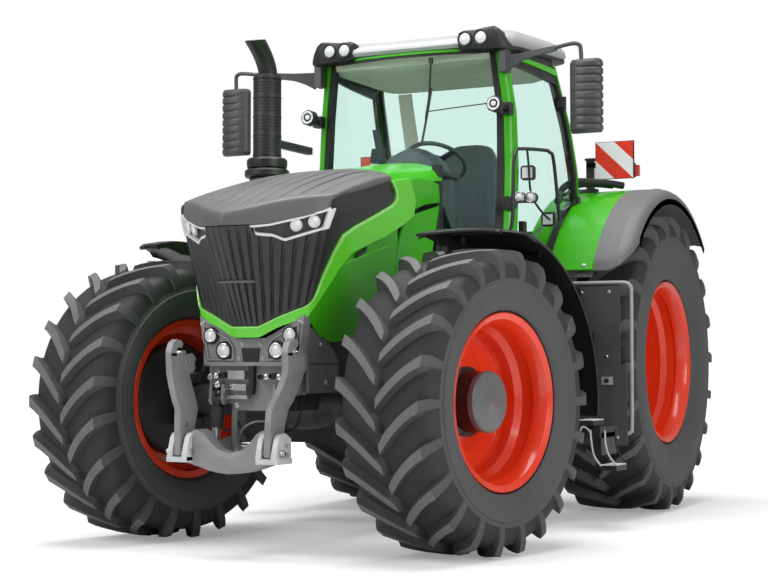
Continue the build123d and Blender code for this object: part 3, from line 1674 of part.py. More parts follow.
cover_edge = (
    (-1300, 1886),
    (-978, 1888),
    (-918, 1892),
    (-839, 1905),
    (-716, 1950),
    (corner_y, 2005),
    (-599, 2042),
    (-375, 2108),
    (-83, 2173),
    (170, 2238),
    (400, 2290),
    (400, 2700),
    (-1300, 2700),
)
cover_rear = both_sides(((0, 345), (200, 318), (380, 250), (520, 168), (700, 100), (700, 1500)))
lamp_outline = (
    (-900, 1884),
    (-896, 1838),
    (-826, 1834),
    (-777, 1808),
    (-622, 1880),
    (-618, 1996),
    (-716, 1946),
    (-839, 1903),
)
lenses = ((0.7, 1888), (0.86, 1912))  # share of the front's half, height

nose_span = (front_axle_y - 1100, front_axle_y + corner_y)
roof_span = (bonnet_lift + 1500, bonnet_lift + 2800)
bonnet_outer = bonnet_solid(0)
bonnet_inner = bonnet_solid(bonnet_wall)
with BuildPart() as bonnet_shell:
    add(bonnet_outer)
    add(bonnet_inner, mode=Mode.SUBTRACT)
    front_prism(lifted(chin), *nose_span, mode=Mode.SUBTRACT)
    side_prism(from_axle((*skirt, (1300, 900))), -700, 700, mode=Mode.SUBTRACT)
    side_prism([(y + bonnet_stretch, z) for y, z in from_axle(rear_cut)], -700, 700, mode=Mode.SUBTRACT)
    plan_prism(
        [(x, y + bonnet_stretch) for x, y in from_axle_plan(rear_curve)],
        *roof_span,
        mode=Mode.SUBTRACT,
    )

with BuildPart() as dark_zone:
    side_prism(
        from_axle(((-1300, 1200), (corner_y, 1200), *band_inner, (145, 2700), (-1300, 2700))),
        -700,
        700,
    )
    front_prism(lifted(chin_band), *nose_span, mode=Mode.SUBTRACT)

with BuildPart() as cover_zone:
    side_prism(from_axle(cover_edge), -700, 700)
    plan_prism(from_axle_plan(cover_rear), *roof_span, mode=Mode.SUBTRACT)

with BuildPart() as bonnet_cover:
    add(bonnet_shell.part)
    add(cover_zone.part, mode=Mode.INTERSECT)
    for share in cover_grooves:
        for side in (1, -1) if share else (1,):
            line = []
            for y, crown, fall in bonnet_top[1:4]:
                line.append(
                    (
                        side * share * bonnet_shoulder_x,
                        front_axle_y + y,
                        bonnet_lift + crown - fall * share**2.4,
                    )
                )
            for start, end in zip(line, line[1:]):
                bar(cover_groove, start, end, mode=Mode.SUBTRACT)
save(bonnet_cover, "bonnet_cover")

with BuildPart() as lamp_zone:
    for side in (1, -1):
        side_prism(from_axle(lamp_outline), side * 100, side * 700)

with BuildPart() as lamp_recess_zone:
    add(bonnet_outer)
    add(bonnet_solid(lamp_recess), mode=Mode.SUBTRACT)
    side_prism(from_axle(lamp_outline), -700, 700, mode=Mode.INTERSECT, grow=-lamp_rim)

with BuildPart() as headlamps:
    add(bonnet_shell.part)
    add(lamp_zone.part, mode=Mode.INTERSECT)
    add(cover_zone.part, mode=Mode.SUBTRACT)
    add(lamp_recess_zone.part, mode=Mode.SUBTRACT)
    for share, z in lenses:
        face = Vector(*bonnet_front(share, bonnet_lift + z))
        along = Vector(*bonnet_front(1, bonnet_lift + z)) - face
        out = Vector(along.Y, -along.X, 0).normalized()
        for side in (1, -1):
            seat_point = face - out * (lamp_recess + 3)
            lens_point = face - out * lens_drop
            bar(
                lens_radius,
                (side * seat_point.X, seat_point.Y, seat_point.Z),
                (side * lens_point.X, lens_point.Y, lens_point.Z),
            )
save(headlamps, "headlamps")

with BuildPart() as grille:
    add(bonnet_shell.part)
    add(dark_zone.part, mode=Mode.INTERSECT)
    add(lamp_zone.part, mode=Mode.SUBTRACT)
    add(cover_zone.part, mode=Mode.SUBTRACT)
    for share in grille_grooves:
        for side in (1, -1):
            low, high = bonnet_front(share, bonnet_foot_z), bonnet_front(share, bonnet_lift + 2000)
            start, end = [(side * x, y, z) for x, y, z in (low, high)]
            bar(grille_groove, start, end, mode=Mode.SUBTRACT)
save(grille, "grille")

with BuildPart() as band_zone:
    side_prism(from_axle((*band_inner, *band_outer)), -700, 700)
    front_prism(lifted(chin_band), *nose_span)
    front_prism(lifted(chin), *nose_span, mode=Mode.SUBTRACT)

with BuildPart() as band:
    add(bonnet_solid(-bonnet_band_rise))
    add(bonnet_inner, mode=Mode.SUBTRACT)
    add(band_zone.part, mode=Mode.INTERSECT)
    add(cover_zone.part, mode=Mode.SUBTRACT)

with BuildPart() as bonnet:
    add(bonnet_shell.part)
    add(dark_zone.part, mode=Mode.SUBTRACT)
    add(cover_zone.part, mode=Mode.SUBTRACT)
    add(lamp_zone.part, mode=Mode.SUBTRACT)
    add(band.part)
    for side in (1, -1):
        # hinge leaves under the rear of the top
        slab(
            side * (bonnet_hinge_x + 2),
            side * (bonnet_hinge_x + 22),
            bonnet_hinge_y - 20,
            bonnet_hinge_y + 20,
            bonnet_hinge_z - 24,
            bonnet_hinge_z + 70,
        )
        bar(
            12 + fit_gap,
            (side * bonnet_hinge_x, bonnet_hinge_y, bonnet_hinge_z),
            (side * (bonnet_hinge_x + 40), bonnet_hinge_y, bonnet_hinge_z),
            mode=Mode.SUBTRACT,
        )
save(bonnet, "bonnet")
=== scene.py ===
"""The looks of a large farm tractor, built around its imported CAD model.

Metres, in the model's own frame: +X is the tractor's left, -Y its front, +Z up, and the ground is
Z = 0. Every piece is drawn where the frame says, rides on one of its bodies and takes a
procedural finish.
"""

import json
from math import atan2, cos, hypot, pi, radians, sin, sqrt

import bmesh
import bpy
from mathutils import Matrix, Vector


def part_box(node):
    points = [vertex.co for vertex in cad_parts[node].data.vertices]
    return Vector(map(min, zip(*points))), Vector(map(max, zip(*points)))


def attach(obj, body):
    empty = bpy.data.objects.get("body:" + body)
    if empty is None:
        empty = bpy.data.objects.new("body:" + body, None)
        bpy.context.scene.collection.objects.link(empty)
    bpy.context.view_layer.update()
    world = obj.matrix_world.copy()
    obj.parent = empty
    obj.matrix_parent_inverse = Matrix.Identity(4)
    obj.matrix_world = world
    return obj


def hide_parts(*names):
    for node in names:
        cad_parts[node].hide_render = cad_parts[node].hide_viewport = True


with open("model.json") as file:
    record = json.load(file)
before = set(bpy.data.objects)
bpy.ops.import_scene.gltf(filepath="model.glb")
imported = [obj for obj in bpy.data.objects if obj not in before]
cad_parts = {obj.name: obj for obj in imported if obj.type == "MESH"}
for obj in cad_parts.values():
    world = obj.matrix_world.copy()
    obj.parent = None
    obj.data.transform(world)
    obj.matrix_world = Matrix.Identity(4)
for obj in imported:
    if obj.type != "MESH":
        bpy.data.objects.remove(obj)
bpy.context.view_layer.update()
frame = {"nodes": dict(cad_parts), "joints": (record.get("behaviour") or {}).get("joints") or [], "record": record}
joints = {joint["name"]: joint for joint in frame["joints"]}
axle_y = joints["steering_left"]["pos_m"][1]
to_left = Vector((1, 0, 0))
to_rear = Vector((0, 1, 0))
upward = Vector((0, 0, 1))
origin = Vector((0, 0, 0))
hands = (("left", 1), ("right", -1))


def front(x, y, z):
    """A place whose y counts from the front axle, backwards."""
    return Vector((x, y + axle_y, z))


# ---- drawing ------------------------------------------------------------------------------
class Shape:
    """Gathers the parts of one piece, drawn in the frame."""

    def __init__(self):
        self.points = []
        self.faces = []
        self.marks = []

    def add(self, points, faces, mark=0):
        """Points and faces over them; mark picks the material."""
        base = len(self.points)
        self.points += [Vector(p) for p in points]
        self.faces += [[base + i for i in face] for face in faces]
        self.marks += [mark] * len(faces)

    def loft(self, rings, mark=0, closed=True, caps=True, around=False):
        """A skin over rings of equally many points; around joins the last ring to the first."""
        count = len(rings[0])
        span = count if closed else count - 1
        faces = []
        for r in range(len(rings) if around else len(rings) - 1):
            a = r * count
            b = ((r + 1) % len(rings)) * count
            for i in range(span):
                j = (i + 1) % count
                faces.append((a + i, a + j, b + j, b + i))
        if caps and not around:
            faces.append(tuple(reversed(range(count))))
            faces.append(tuple(range((len(rings) - 1) * count, len(rings) * count)))
        self.add([p for ring in rings for p in ring], faces, mark)

    def prism(self, outline, axis, low, high, mark=0):
        """An outline of the two other coordinates, in order, between two places on an axis."""
        rings = []
        for place in (low, high):
            if axis == "x":
                rings.append([(place, u, v) for u, v in outline])
            elif axis == "y":
                rings.append([(u, place, v) for u, v in outline])
            else:
                rings.append([(u, v, place) for u, v in outline])
        self.loft(rings, mark)

    def box(self, low, high, mark=0):
        """A block between two corners."""
        (x0, y0, z0), (x1, y1, z1) = low, high
        self.prism(((x0, y0), (x1, y0), (x1, y1), (x0, y1)), "z", z0, z1, mark)

    def turned(self, profile, centre, axis, sides=32, mark=0, closed=False):
        """A profile of (distance along the axis, radius) turned about the axis."""
        along = Vector(axis).normalized()
        across = along.orthogonal().normalized()
        third = along.cross(across)
        rings = []
        for k in range(sides):
            turn = 2 * pi * k / sides
            out = across * cos(turn) + third * sin(turn)
            rings.append([Vector(centre) + along * d + out * r for d, r in profile])
        first = len(self.points)
        count = len(profile)
        self.loft(rings, mark, closed, around=True)
        if not closed:
            # discs close the ends that don't meet the axis
            for end in (0, count - 1):
                if profile[end][1] > 1e-6:
                    self.faces.append([first + k * count + end for k in range(sides)])
                    self.marks.append(mark)

    def rod(self, start, end, radius, sides=20, mark=0):
        """A round bar between two points."""
        line = Vector(end) - Vector(start)
        self.turned(((0, radius), (line.length, radius)), start, line, sides, mark)

    def pipe(self, points, radius, sides=12, mark=0, steps=6):
        """A round tube along a smooth line through points."""
        line = smooth_line(points, steps)
        rings = []
        side = None
        for i, here in enumerate(line):
            ahead = (line[min(i + 1, len(line) - 1)] - line[max(i - 1, 0)]).normalized()
            side = ahead.orthogonal() if side is None else side - ahead * side.dot(ahead)
            side.normalize()
            rings.append(circle(here, side, ahead.cross(side), radius, sides))
        self.loft(rings, mark)

    def sheet(self, outside, inside, columns, rows, mark=0):
        """A skin over two grids of points, each listed column by column, joined along their border."""
        count = len(outside)
        faces = []
        for i in range(columns):
            for j in range(rows):
                k = i * (rows + 1) + j
                faces.append((k, k + rows + 1, k + rows + 2, k + 1))
                faces.append((k + count, k + 1 + count, k + rows + 2 + count, k + rows + 1 + count))
        ring = border_of(columns, rows)
        ring += [i * (rows + 1) + rows for i in range(columns - 1, 0, -1)]
        for a, b in zip(ring, ring[1:] + ring[:1]):
            faces.append((a, a + count, b + count, b))
        self.add(outside + inside, faces, mark)

    def bolt(self, centre, axis, radius, mark=0):
        """A hexagon head on a washer, standing out along the axis."""
        axis = Vector(axis).normalized()
        thick = radius * 0.18
        self.turned(((0, radius * 1.35), (thick, radius * 1.35)), centre, axis, 18, mark)
        head = Vector(centre) + axis * thick
        self.turned(
            ((0, radius), (radius * 0.6, radius), (radius * 0.72, radius * 0.85)), head, axis, 6, mark
        )

    def join(self, other):
        """Takes in another shape's parts."""
        count = len(self.points)
        self.points += other.points
        self.faces += [[i + count for i in face] for face in other.faces]
        self.marks += other.marks

    def moved(self, matrix):
        """The whole shape placed by a matrix."""
        self.points = [matrix @ p for p in self.points]
        return self

    def doubled(self):
        """The shape with its mirror image across the middle of the tractor."""
        count = len(self.points)
        self.points += [Vector((-p.x, p.y, p.z)) for p in self.points]
        self.faces += [[i + count for i in reversed(face)] for face in self.faces]
        self.marks += self.marks
        return self

    def flipped(self):
        """The shape's mirror image alone."""
        self.points = [Vector((-p.x, p.y, p.z)) for p in self.points]
        self.faces = [list(reversed(face)) for face in self.faces]
        return self


def circle(centre, across, third, radius, sides, first=0.0):
    """Places round a centre, from one direction towards another; first is a share of one step."""
    turns = [2 * pi * (k + first) / sides for k in range(sides)]
    return [centre + (across * cos(turn) + third * sin(turn)) * radius for turn in turns]


def border_of(columns, rows):
    """Indices along three sides of a grid listed column by column, from the first column's end."""
    step = rows + 1
    ring = list(range(rows, 0, -1)) + [i * step for i in range(columns + 1)]
    return ring + [columns * step + j for j in range(1, step)]


def smooth_line(points, steps):
    """Points along a Catmull-Rom line through the given ones."""
    knots = [Vector(p) for p in points]
    knots = [knots[0] * 2 - knots[1]] + knots + [knots[-1] * 2 - knots[-2]]
    line = []
    for a, b, c, d in zip(knots, knots[1:], knots[2:], knots[3:]):
        for k in range(steps):
            t = k / steps
            bend = 2 * a - 5 * b + 4 * c - d
            line.append(0.5 * (2 * b + (c - a) * t + bend * t * t + (3 * b - a - 3 * c + d) * t**3))
    line.append(knots[-2].copy())
    return line


def interpolate(table, place):
    """The value of each further column of a table at a place in its first column."""
    if place <= table[0][0]:
        return table[0][1:]
    for before, after in zip(table, table[1:]):
        if place <= after[0]:
            t = (place - before[0]) / (after[0] - before[0])
            return tuple(a + (b - a) * t for a, b in zip(before[1:], after[1:]))
    return table[-1][1:]


def piece(shape, name, body, materials, replaces=(), bevel=0.0, crease=35, segments=2, levels=0):
    """Makes a shape into a finished object that rides on a body."""
    mesh = bpy.data.meshes.new(name)
    mesh.from_pydata([tuple(p) for p in shape.points], [], shape.faces)
    if not isinstance(materials, (list, tuple)):
        materials = [materials]
    for material in materials:
        mesh.materials.append(material)
    for polygon, mark in zip(mesh.polygons, shape.marks):
        polygon.material_index = mark
    work = bmesh.new()
    work.from_mesh(mesh)
    bmesh.ops.recalc_face_normals(work, faces=work.faces)
    work.to_mesh(mesh)
    work.free()
    mesh.shade_smooth()
    mesh.set_sharp_from_angle(angle=radians(crease))
    made = bpy.data.objects.new(name, mesh)
    bpy.context.scene.collection.objects.link(made)
    if levels:
        rounding = made.modifiers.new("rounding", "SUBSURF")
        rounding.levels = rounding.render_levels = levels
    if bevel:
        soften(made, bevel, crease, segments)
    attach(made, body)
    if replaces:
        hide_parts(*replaces)
    return made


def soften(target, width, crease=35, segments=2):
    """Rounds an object's sharp edges a little."""
    edges = target.modifiers.new("edges", "BEVEL")
    edges.width = width
    edges.segments = segments
    edges.limit_method = "ANGLE"
    edges.angle_limit = radians(crease)
    edges.harden_normals = True
    return edges


# ---- finishes -----------------------------------------------------------------------------
def link(tree, output, target):
    tree.links.new(output, target)


def finish_of(
    name,
    colour,
    roughness=0.5,
    patch=0.10,
    patch_size=0.30,
    grain=0.0,
    grain_size=0.004,
    spread=0.08,
    fleck=None,
    fleck_share=0.45,
    **sockets,
):
    """A procedural material.

    colour wanders by patch over patch_size; roughness wanders by spread; grain is the depth of
    the fine bump, in metres, at grain_size; fleck is a second colour mixed in finely.
    """
    material = bpy.data.materials.new(name)
    material.use_nodes = True
    tree = material.node_tree
    shader = tree.nodes["Principled BSDF"]
    place = tree.nodes.new("ShaderNodeTexCoord")

    broad = tree.nodes.new("ShaderNodeTexNoise")
    broad.inputs["Scale"].default_value = 1 / patch_size
    broad.inputs["Detail"].default_value = 5
    link(tree, place.outputs["Object"], broad.inputs["Vector"])
    tint = tree.nodes.new("ShaderNodeValToRGB")
    tint.color_ramp.elements[0].position = 0.3
    tint.color_ramp.elements[1].position = 0.7
    tint.color_ramp.elements[0].color = [c * (1 - patch) for c in colour] + [1]
    tint.color_ramp.elements[1].color = [min(1, c * (1 + patch)) for c in colour] + [1]
    link(tree, broad.outputs["Fac"], tint.inputs["Fac"])

    fine = tree.nodes.new("ShaderNodeTexNoise")
    fine.inputs["Scale"].default_value = 1 / grain_size
    fine.inputs["Detail"].default_value = 3
    link(tree, place.outputs["Object"], fine.inputs["Vector"])

    base = tint.outputs["Color"]
    if fleck:
        mask = tree.nodes.new("ShaderNodeMapRange")
        mask.inputs["From Min"].default_value = 1 - fleck_share
        mask.inputs["From Max"].default_value = 1 - fleck_share + 0.12
        link(tree, fine.outputs["Fac"], mask.inputs["Value"])
        blend = tree.nodes.new("ShaderNodeMix")
        blend.data_type = "RGBA"
        link(tree, mask.outputs["Result"], blend.inputs["Factor"])
        link(tree, base, blend.inputs["A"])
        blend.inputs["B"].default_value = (*fleck, 1)
        base = blend.outputs["Result"]
    link(tree, base, shader.inputs["Base Color"])

    sheen = tree.nodes.new("ShaderNodeMapRange")
    sheen.inputs["From Min"].default_value = 0.3
    sheen.inputs["From Max"].default_value = 0.7
    sheen.inputs["To Min"].default_value = max(0, roughness - spread)
    sheen.inputs["To Max"].default_value = min(1, roughness + spread)
    link(tree, broad.outputs["Fac"], sheen.inputs["Value"])
    link(tree, sheen.outputs["Result"], shader.inputs["Roughness"])

    if grain:
        bump = tree.nodes.new("ShaderNodeBump")
        bump.inputs["Strength"].default_value = 1
        bump.inputs["Distance"].default_value = grain
        link(tree, fine.outputs["Fac"], bump.inputs["Height"])
        link(tree, bump.outputs["Normal"], shader.inputs["Normal"])
    for socket, value in sockets.items():
        shader.inputs[socket.replace("_", " ")].default_value = value
    return material


rubber = finish_of("rubber", (0.062, 0.063, 0.065), 0.60, 0.16, 0.35, 0.0006, 0.0030)
# darker rubber for the tread's floor between the lugs: painted shade
rubber_painted_shade = finish_of("rubber_painted_shade", (0.022, 0.022, 0.023), 0.70, 0.14, 0.3, 0.0006, 0.0030)
# lighter, flecked rubber for the lugs' tops: partly scuffed wear, partly painted highlight
rubber_scuff_and_highlight = finish_of(
    "rubber_scuff_and_highlight", (0.115, 0.116, 0.119), 0.64, 0.14, 0.3, 0.0010, 0.0060,
    fleck=(0.20, 0.202, 0.206), fleck_share=0.42,
)
rim_red = finish_of(
    "rim_red", (0.76, 0.040, 0.008), 0.26, 0.06, 0.5, 0.00006, 0.02,
    Coat_Weight=0.35, Coat_Roughness=0.06,
)
green = finish_of(
    "green", (0.045, 0.42, 0.004), 0.30, 0.05, 0.6, 0.00005, 0.02,
    Coat_Weight=0.2, Coat_Roughness=0.08, Specular_IOR_Level=0.35,
)
# a pale green for the thin strip along the band's edge: painted highlight
edge_painted_highlight = finish_of("edge_painted_highlight", (0.38, 0.86, 0.24), 0.28, 0.04, 0.6, 0.00005, 0.02, Coat_Weight=0.3)
# a lighter green for the band and the crease under it: painted light on faces turned to the lamps
band_painted_light = finish_of(
    "band_painted_light", (0.13, 0.66, 0.03), 0.28, 0.05, 0.6, 0.00005, 0.02,
    Coat_Weight=0.3, Coat_Roughness=0.08, Specular_IOR_Level=0.4,
)
cover_grey = finish_of("cover_grey", (0.105, 0.105, 0.107), 0.48, 0.06, 0.3, 0.0003, 0.0022)
grille_black = finish_of("grille_black", (0.022, 0.022, 0.024), 0.38, 0.10, 0.2, 0.0002, 0.003)
black_plastic = finish_of("black_plastic", (0.012, 0.012, 0.013), 0.42, 0.12, 0.25, 0.0004, 0.0030)
panel_grey = finish_of("panel_grey", (0.055, 0.056, 0.058), 0.46, 0.08, 0.3, 0.0003, 0.0030)
fender_grey = finish_of("fender_grey", (0.135, 0.135, 0.138), 0.50, 0.05, 0.4, 0.0003, 0.0022)
roof_grey = finish_of("roof_grey", (0.36, 0.37, 0.38), 0.38, 0.04, 0.5, 0.0002, 0.003, Coat_Weight=0.2)
cast_grey = finish_of("cast_grey", (0.23, 0.23, 0.235), 0.40, 0.12, 0.10, 0.0008, 0.006, Coat_Weight=0.15)
guard_dark = finish_of("guard_dark", (0.055, 0.056, 0.058), 0.55, 0.06, 0.2, 0.0003, 0.004)
rail_grey = finish_of("rail_grey", (0.34, 0.34, 0.35), 0.38, 0.05, 0.2, 0.0002, 0.006)
tread_pale = finish_of("tread_pale", (0.48, 0.48, 0.49), 0.40, 0.15, 0.05, 0.0005, 0.004)
# black for the guard's holes, drawn as discs on the canister: painted shade inside them
hole_painted_shade = finish_of("hole_painted_shade", (0.004, 0.004, 0.004), 0.80, 0.05, 0.1, 0, 0.01)
cast_pale = finish_of("cast_pale", (0.55, 0.55, 0.56), 0.38, 0.10, 0.08, 0.0008, 0.006)
dark_iron = finish_of("dark_iron", (0.030, 0.031, 0.033), 0.50, 0.18, 0.15, 0.0008, 0.006)
steel = finish_of("steel", (0.55, 0.55, 0.56), 0.28, 0.08, 0.10, 0.0001, 0.002, Metallic=1.0)
chrome = finish_of("chrome", (0.80, 0.80, 0.82), 0.10, 0.04, 0.20, 0.00003, 0.01, 0.04, Metallic=1.0)
lamp_white = finish_of("lamp_white", (0.75, 0.76, 0.78), 0.18, 0.05, 0.05, 0.0008, 0.012, Coat_Weight=1.0)
lamp_red = finish_of("lamp_red", (0.55, 0.012, 0.010), 0.20, 0.06, 0.05, 0.0008, 0.010, Coat_Weight=1.0)
seat_black = finish_of("seat_black", (0.085, 0.098, 0.108), 0.75, 0.12, 0.10, 0.0010, 0.0035, Sheen_Weight=0.4)
cabin_beige = finish_of("cabin_beige", (0.74, 0.68, 0.56), 0.65, 0.06, 0.2, 0.0005, 0.004)
cabin_dark = finish_of("cabin_dark", (0.075, 0.088, 0.096), 0.60, 0.10, 0.2, 0.0006, 0.004)
board_white = finish_of("board_white", (0.78, 0.79, 0.80), 0.35, 0.03, 0.1, 0.0002, 0.004)
board_red = finish_of("board_red", (0.72, 0.030, 0.012), 0.35, 0.05, 0.1, 0.0002, 0.004)
hub_grey = finish_of("hub_grey", (0.12, 0.122, 0.126), 0.36, 0.08, 0.1, 0.0004, 0.004, Coat_Weight=0.2)
glass = finish_of(
    "glass", (0.80, 0.93, 0.89), 0.015, 0.01, 0.6, 0, 0.01, 0.01,
    Transmission_Weight=1.0, IOR=1.1,
)
mirror_glass = finish_of("mirror_glass", (0.75, 0.77, 0.79), 0.04, 0.02, 0.3, 0, 0.01, 0.02, Metallic=1.0)
blue_cap = finish_of("blue_cap", (0.01, 0.09, 0.45), 0.35, 0.08, 0.02, 0.0002, 0.003)
hose_black = finish_of("hose_black", (0.014, 0.014, 0.015), 0.55, 0.12, 0.05, 0.0006, 0.004)


# ---- wheels -------------------------------------------------------------------------------
lug_height = 0.050
lugs_per_side = 22
lug_flare = 0.014  # how far a lug's flank spreads at its foot, each side
flange_height = 0.034
rim_share = 0.37  # half the rim's width as a share of the tyre's
ring_sides = 132
painted_shade_band = 0.12  # how far the painted shade of the tread's floor, a darker rubber, reaches below the lugs' feet
mould_line_drop = 0.165  # the upper mould line, below the lugs' feet
hub_bolt_circle = 0.190
cap_bolt_circle = 0.160
wheels = (  # end, tyre's width, places of disc and cap on the axis, shift outwards on the left and the right
    ("front", 0.650, -0.040, 0.170, 0.025, -0.013),  # the steered right one stays inside the width
    ("rear", 0.730, -0.080, 0.060, 0.020, 0.020),
)


def turned_to(spin):
    """The turn about Z that brings +X onto a wheel's axis."""
    x, y, _ = joints[spin]["axis"]
    return Matrix.Rotation(atan2(y, x) + (pi if x < 0 else 0), 4, "Z")


def wheel_matrix(spin):
    """Places a wheel drawn about X at the origin on its spin joint."""
    return Matrix.Translation(joints[spin]["pos_m"]) @ turned_to(spin)


def around_wheel(offset, radius, angle):
    """A point on a wheel drawn about X; the angle runs from the front over the top."""
    return Vector((offset, -radius * cos(angle), radius * sin(angle)))


def carcass_line(width, outer, rim_radius):
    """The tyre's outline without its lugs, from the crown to the bead: (offset, radius)."""
    half = width / 2
    base = outer - lug_height
    wall = base - rim_radius
    knots = (
        (0.00 * half, base),
        (0.40 * half, base - 0.003),
        (0.68 * half, base - 0.010),
        (0.83 * half, base - 0.024),
        (0.905 * half, base - 0.052),
        (0.945 * half, base - 0.095),
        (0.962 * half, base - 0.140),
        (0.985 * half, base - 0.160),
        (0.994 * half, rim_radius + 0.52 * wall),
        (0.985 * half, rim_radius + 0.36 * wall),
        (0.935 * half, rim_radius + 0.20 * wall),
        (0.845 * half, rim_radius + 0.07 * wall),
        (0.800 * half, rim_radius + 0.022),
        (rim_share * width - 0.002, rim_radius + 0.010),
        (rim_share * width - 0.014, rim_radius - flange_height + 0.002),
    )
    line = smooth_line([(a, r, 0) for a, r in knots], 3)
    return [(p.x, p.y) for p in line]


def lug_rings(half, outer, start, side):
    """Cross-sections of one lug from its nose at the tread's middle out over the shoulder."""
    reach = 0.90 * half
    swept = 0.85 * reach
    base = outer - lug_height
    stations = (  # share of the reach, top width, drop of the top, foot's offset share, foot's drop
        (-0.06, 0.020, lug_height - 0.004, -0.06, 0.010),
        (0.015, 0.036, 0.003, 0.015, 0.010),
        (0.16, 0.045, 0.000, 0.16, 0.010),
        (0.33, 0.046, 0.001, 0.33, 0.010),
        (0.50, 0.047, 0.002, 0.50, 0.011),
        (0.67, 0.049, 0.004, 0.67, 0.014),
        (0.83, 0.053, 0.007, 0.83, 0.022),
        (0.97, 0.060, 0.011, 0.95, 0.042),
        (1.020, 0.056, 0.034, 0.97, 0.060),
        (1.070, 0.056, 0.070, 1.00, 0.090),
        (1.092, 0.054, 0.112, 1.02, 0.130),
        (1.092, 0.046, 0.158, 1.04, 0.165),
    )
    rings = []
    for t, top_width, drop, foot_t, foot_drop in stations:
        curve = min(max(t, 0), 1.0)
        slope = swept / reach * (1.42 - 0.84 * curve)
        angle = start + swept / outer * (1.42 * t - 0.42 * t * abs(t))
        stretch = hypot(1, slope)
        top = top_width / 2 * stretch / outer
        foot = top + lug_flare * stretch / outer
        knee = top + 0.3 * lug_flare * stretch / outer
        top_radius = outer - drop
        foot_radius = base - foot_drop
        knee_radius = foot_radius + 0.35 * (top_radius - foot_radius)
        knee_t = foot_t + 0.35 * (t - foot_t)
        ring = []
        for share, radius, turn in (
            (foot_t, foot_radius, -foot),
            (knee_t, knee_radius, -knee),
            (t, top_radius, -top),
            (t, top_radius, top),
            (knee_t, knee_radius, knee),
            (foot_t, foot_radius, foot),
        ):
            ring.append(around_wheel(side * share * reach, radius, angle + turn))
        rings.append(ring)
    return rings


def tyre_shape(width, outer, rim_radius):
    """A lugged tyre about X: its carcass, then two staggered rows of curved lugs."""
    tyre = Shape()
    line = carcass_line(width, outer, rim_radius)
    profile = [(-a, r) for a, r in reversed(line[1:])] + line
    tyre.turned(profile, origin, to_left, ring_sides, closed=True)
    for k, face in enumerate(tyre.faces):
        # the tread's floor, between the lugs, takes darker rubber: painted shade
        middle = sum((tyre.points[i] for i in face), Vector()) / len(face)
        if hypot(middle.y, middle.z) > outer - lug_height - painted_shade_band:
            tyre.marks[k] = 2
    pitch = 2 * pi / lugs_per_side
    for side in (1, -1):
        for k in range(lugs_per_side):
            start = (k + (0.5 if side < 0 else 0)) * pitch
            rings = lug_rings(width / 2, outer, start, side)
            before = len(tyre.marks)
            tyre.loft(rings)
            # the tops of the lugs take the lighter, flecked rubber: partly scuffed wear, partly painted highlight on
            # their lit faces
            for r in range(1, 7):
                tyre.marks[before + r * 6 + 2] = 1
    ridge = ((-0.004, 0), (0.0025, 0.005), (0.0025, 0.009), (-0.004, 0.014))
    for radius in (rim_radius + 0.030, outer - lug_height - mould_line_drop):
        # mould lines round the sidewalls
        for side in (1, -1):
            offset = side * interpolate(sorted((-r, a) for a, r in line), -radius)[0]
            ring = [(offset + side * d, radius + r) for d, r in ridge]
            tyre.turned(ring, origin, to_left, ring_sides, closed=True)
    return tyre


def rim_parts(width, radius, disc, reach):
    """A rim, its black hub and the grey cap on it, as three shapes about X."""
    half = rim_share * width
    seat = radius - flange_height
    rim = Shape()
    outline = (
        (half + 0.030, radius + 0.004),
        (half + 0.024, radius + 0.010),
        (half - 0.006, radius + 0.008),
        (half - 0.014, seat + 0.002),
        (half - 0.150, seat),
        (half - 0.190, seat - 0.040),
        (-half + 0.090, seat - 0.040),
        (-half + 0.070, seat),
        (-half + 0.014, seat + 0.002),
        (-half + 0.010, radius - 0.001),
        (-half - 0.004, radius),
        (-half - 0.008, radius - 0.006),
        (-half, seat - 0.012),
        (-half + 0.065, seat - 0.013),
        (-half + 0.085, seat - 0.054),
        (half - 0.186, seat - 0.054),
        (half - 0.150, seat - 0.020),
        (half - 0.085, seat - 0.016),
        (half - 0.075, seat - 0.026),
        (half - 0.030, seat - 0.020),
        (half + 0.012, seat + 0.004),
    )
    rim.turned(outline, origin, to_left, ring_sides, closed=True)
    plate = (
        (disc + 0.022, 0.10),
        (disc + 0.022, 0.215),
        (disc + 0.004, 0.262),
        (disc - 0.012, 0.330),
        (disc + 0.000, seat - 0.068),
        (disc + 0.028, seat - 0.052),
        (disc + 0.012, seat - 0.048),
        (disc - 0.030, seat - 0.050),
        (disc - 0.034, 0.330),
        (disc - 0.018, 0.260),
        (disc, 0.215),
        (disc, 0.10),
    )
    rim.turned(plate, origin, to_left, 96, closed=True)
    hub = Shape()
    barrel = (
        (disc - 0.01, 0.16),
        (disc + 0.024, 0.205),
        (disc + 0.045, 0.205),
        (disc + 0.052, 0.178),
        (reach - 0.040, 0.174),
        (reach - 0.040, 0.100),
    )
    hub.turned(barrel, origin, to_left, 64)
    for place in circle(to_left * (disc + 0.045), to_rear, upward, hub_bolt_circle, 12, 0.5):
        hub.bolt(place, to_left, 0.0085)
    cap = Shape()
    dome = (
        (reach - 0.046, 0.150),
        (reach - 0.046, 0.180),
        (reach - 0.014, 0.180),
        (reach - 0.006, 0.172),
        (reach - 0.004, 0.150),
        (reach, 0.132),
        (reach, 0.030),
        (reach + 0.003, 0.024),
    )
    cap.turned(dome, origin, to_left, 64)
    for place in circle(to_left * (reach - 0.008), to_rear, upward, cap_bolt_circle, 8):
        cap.bolt(place, to_left, 0.007)
    return rim, hub, cap


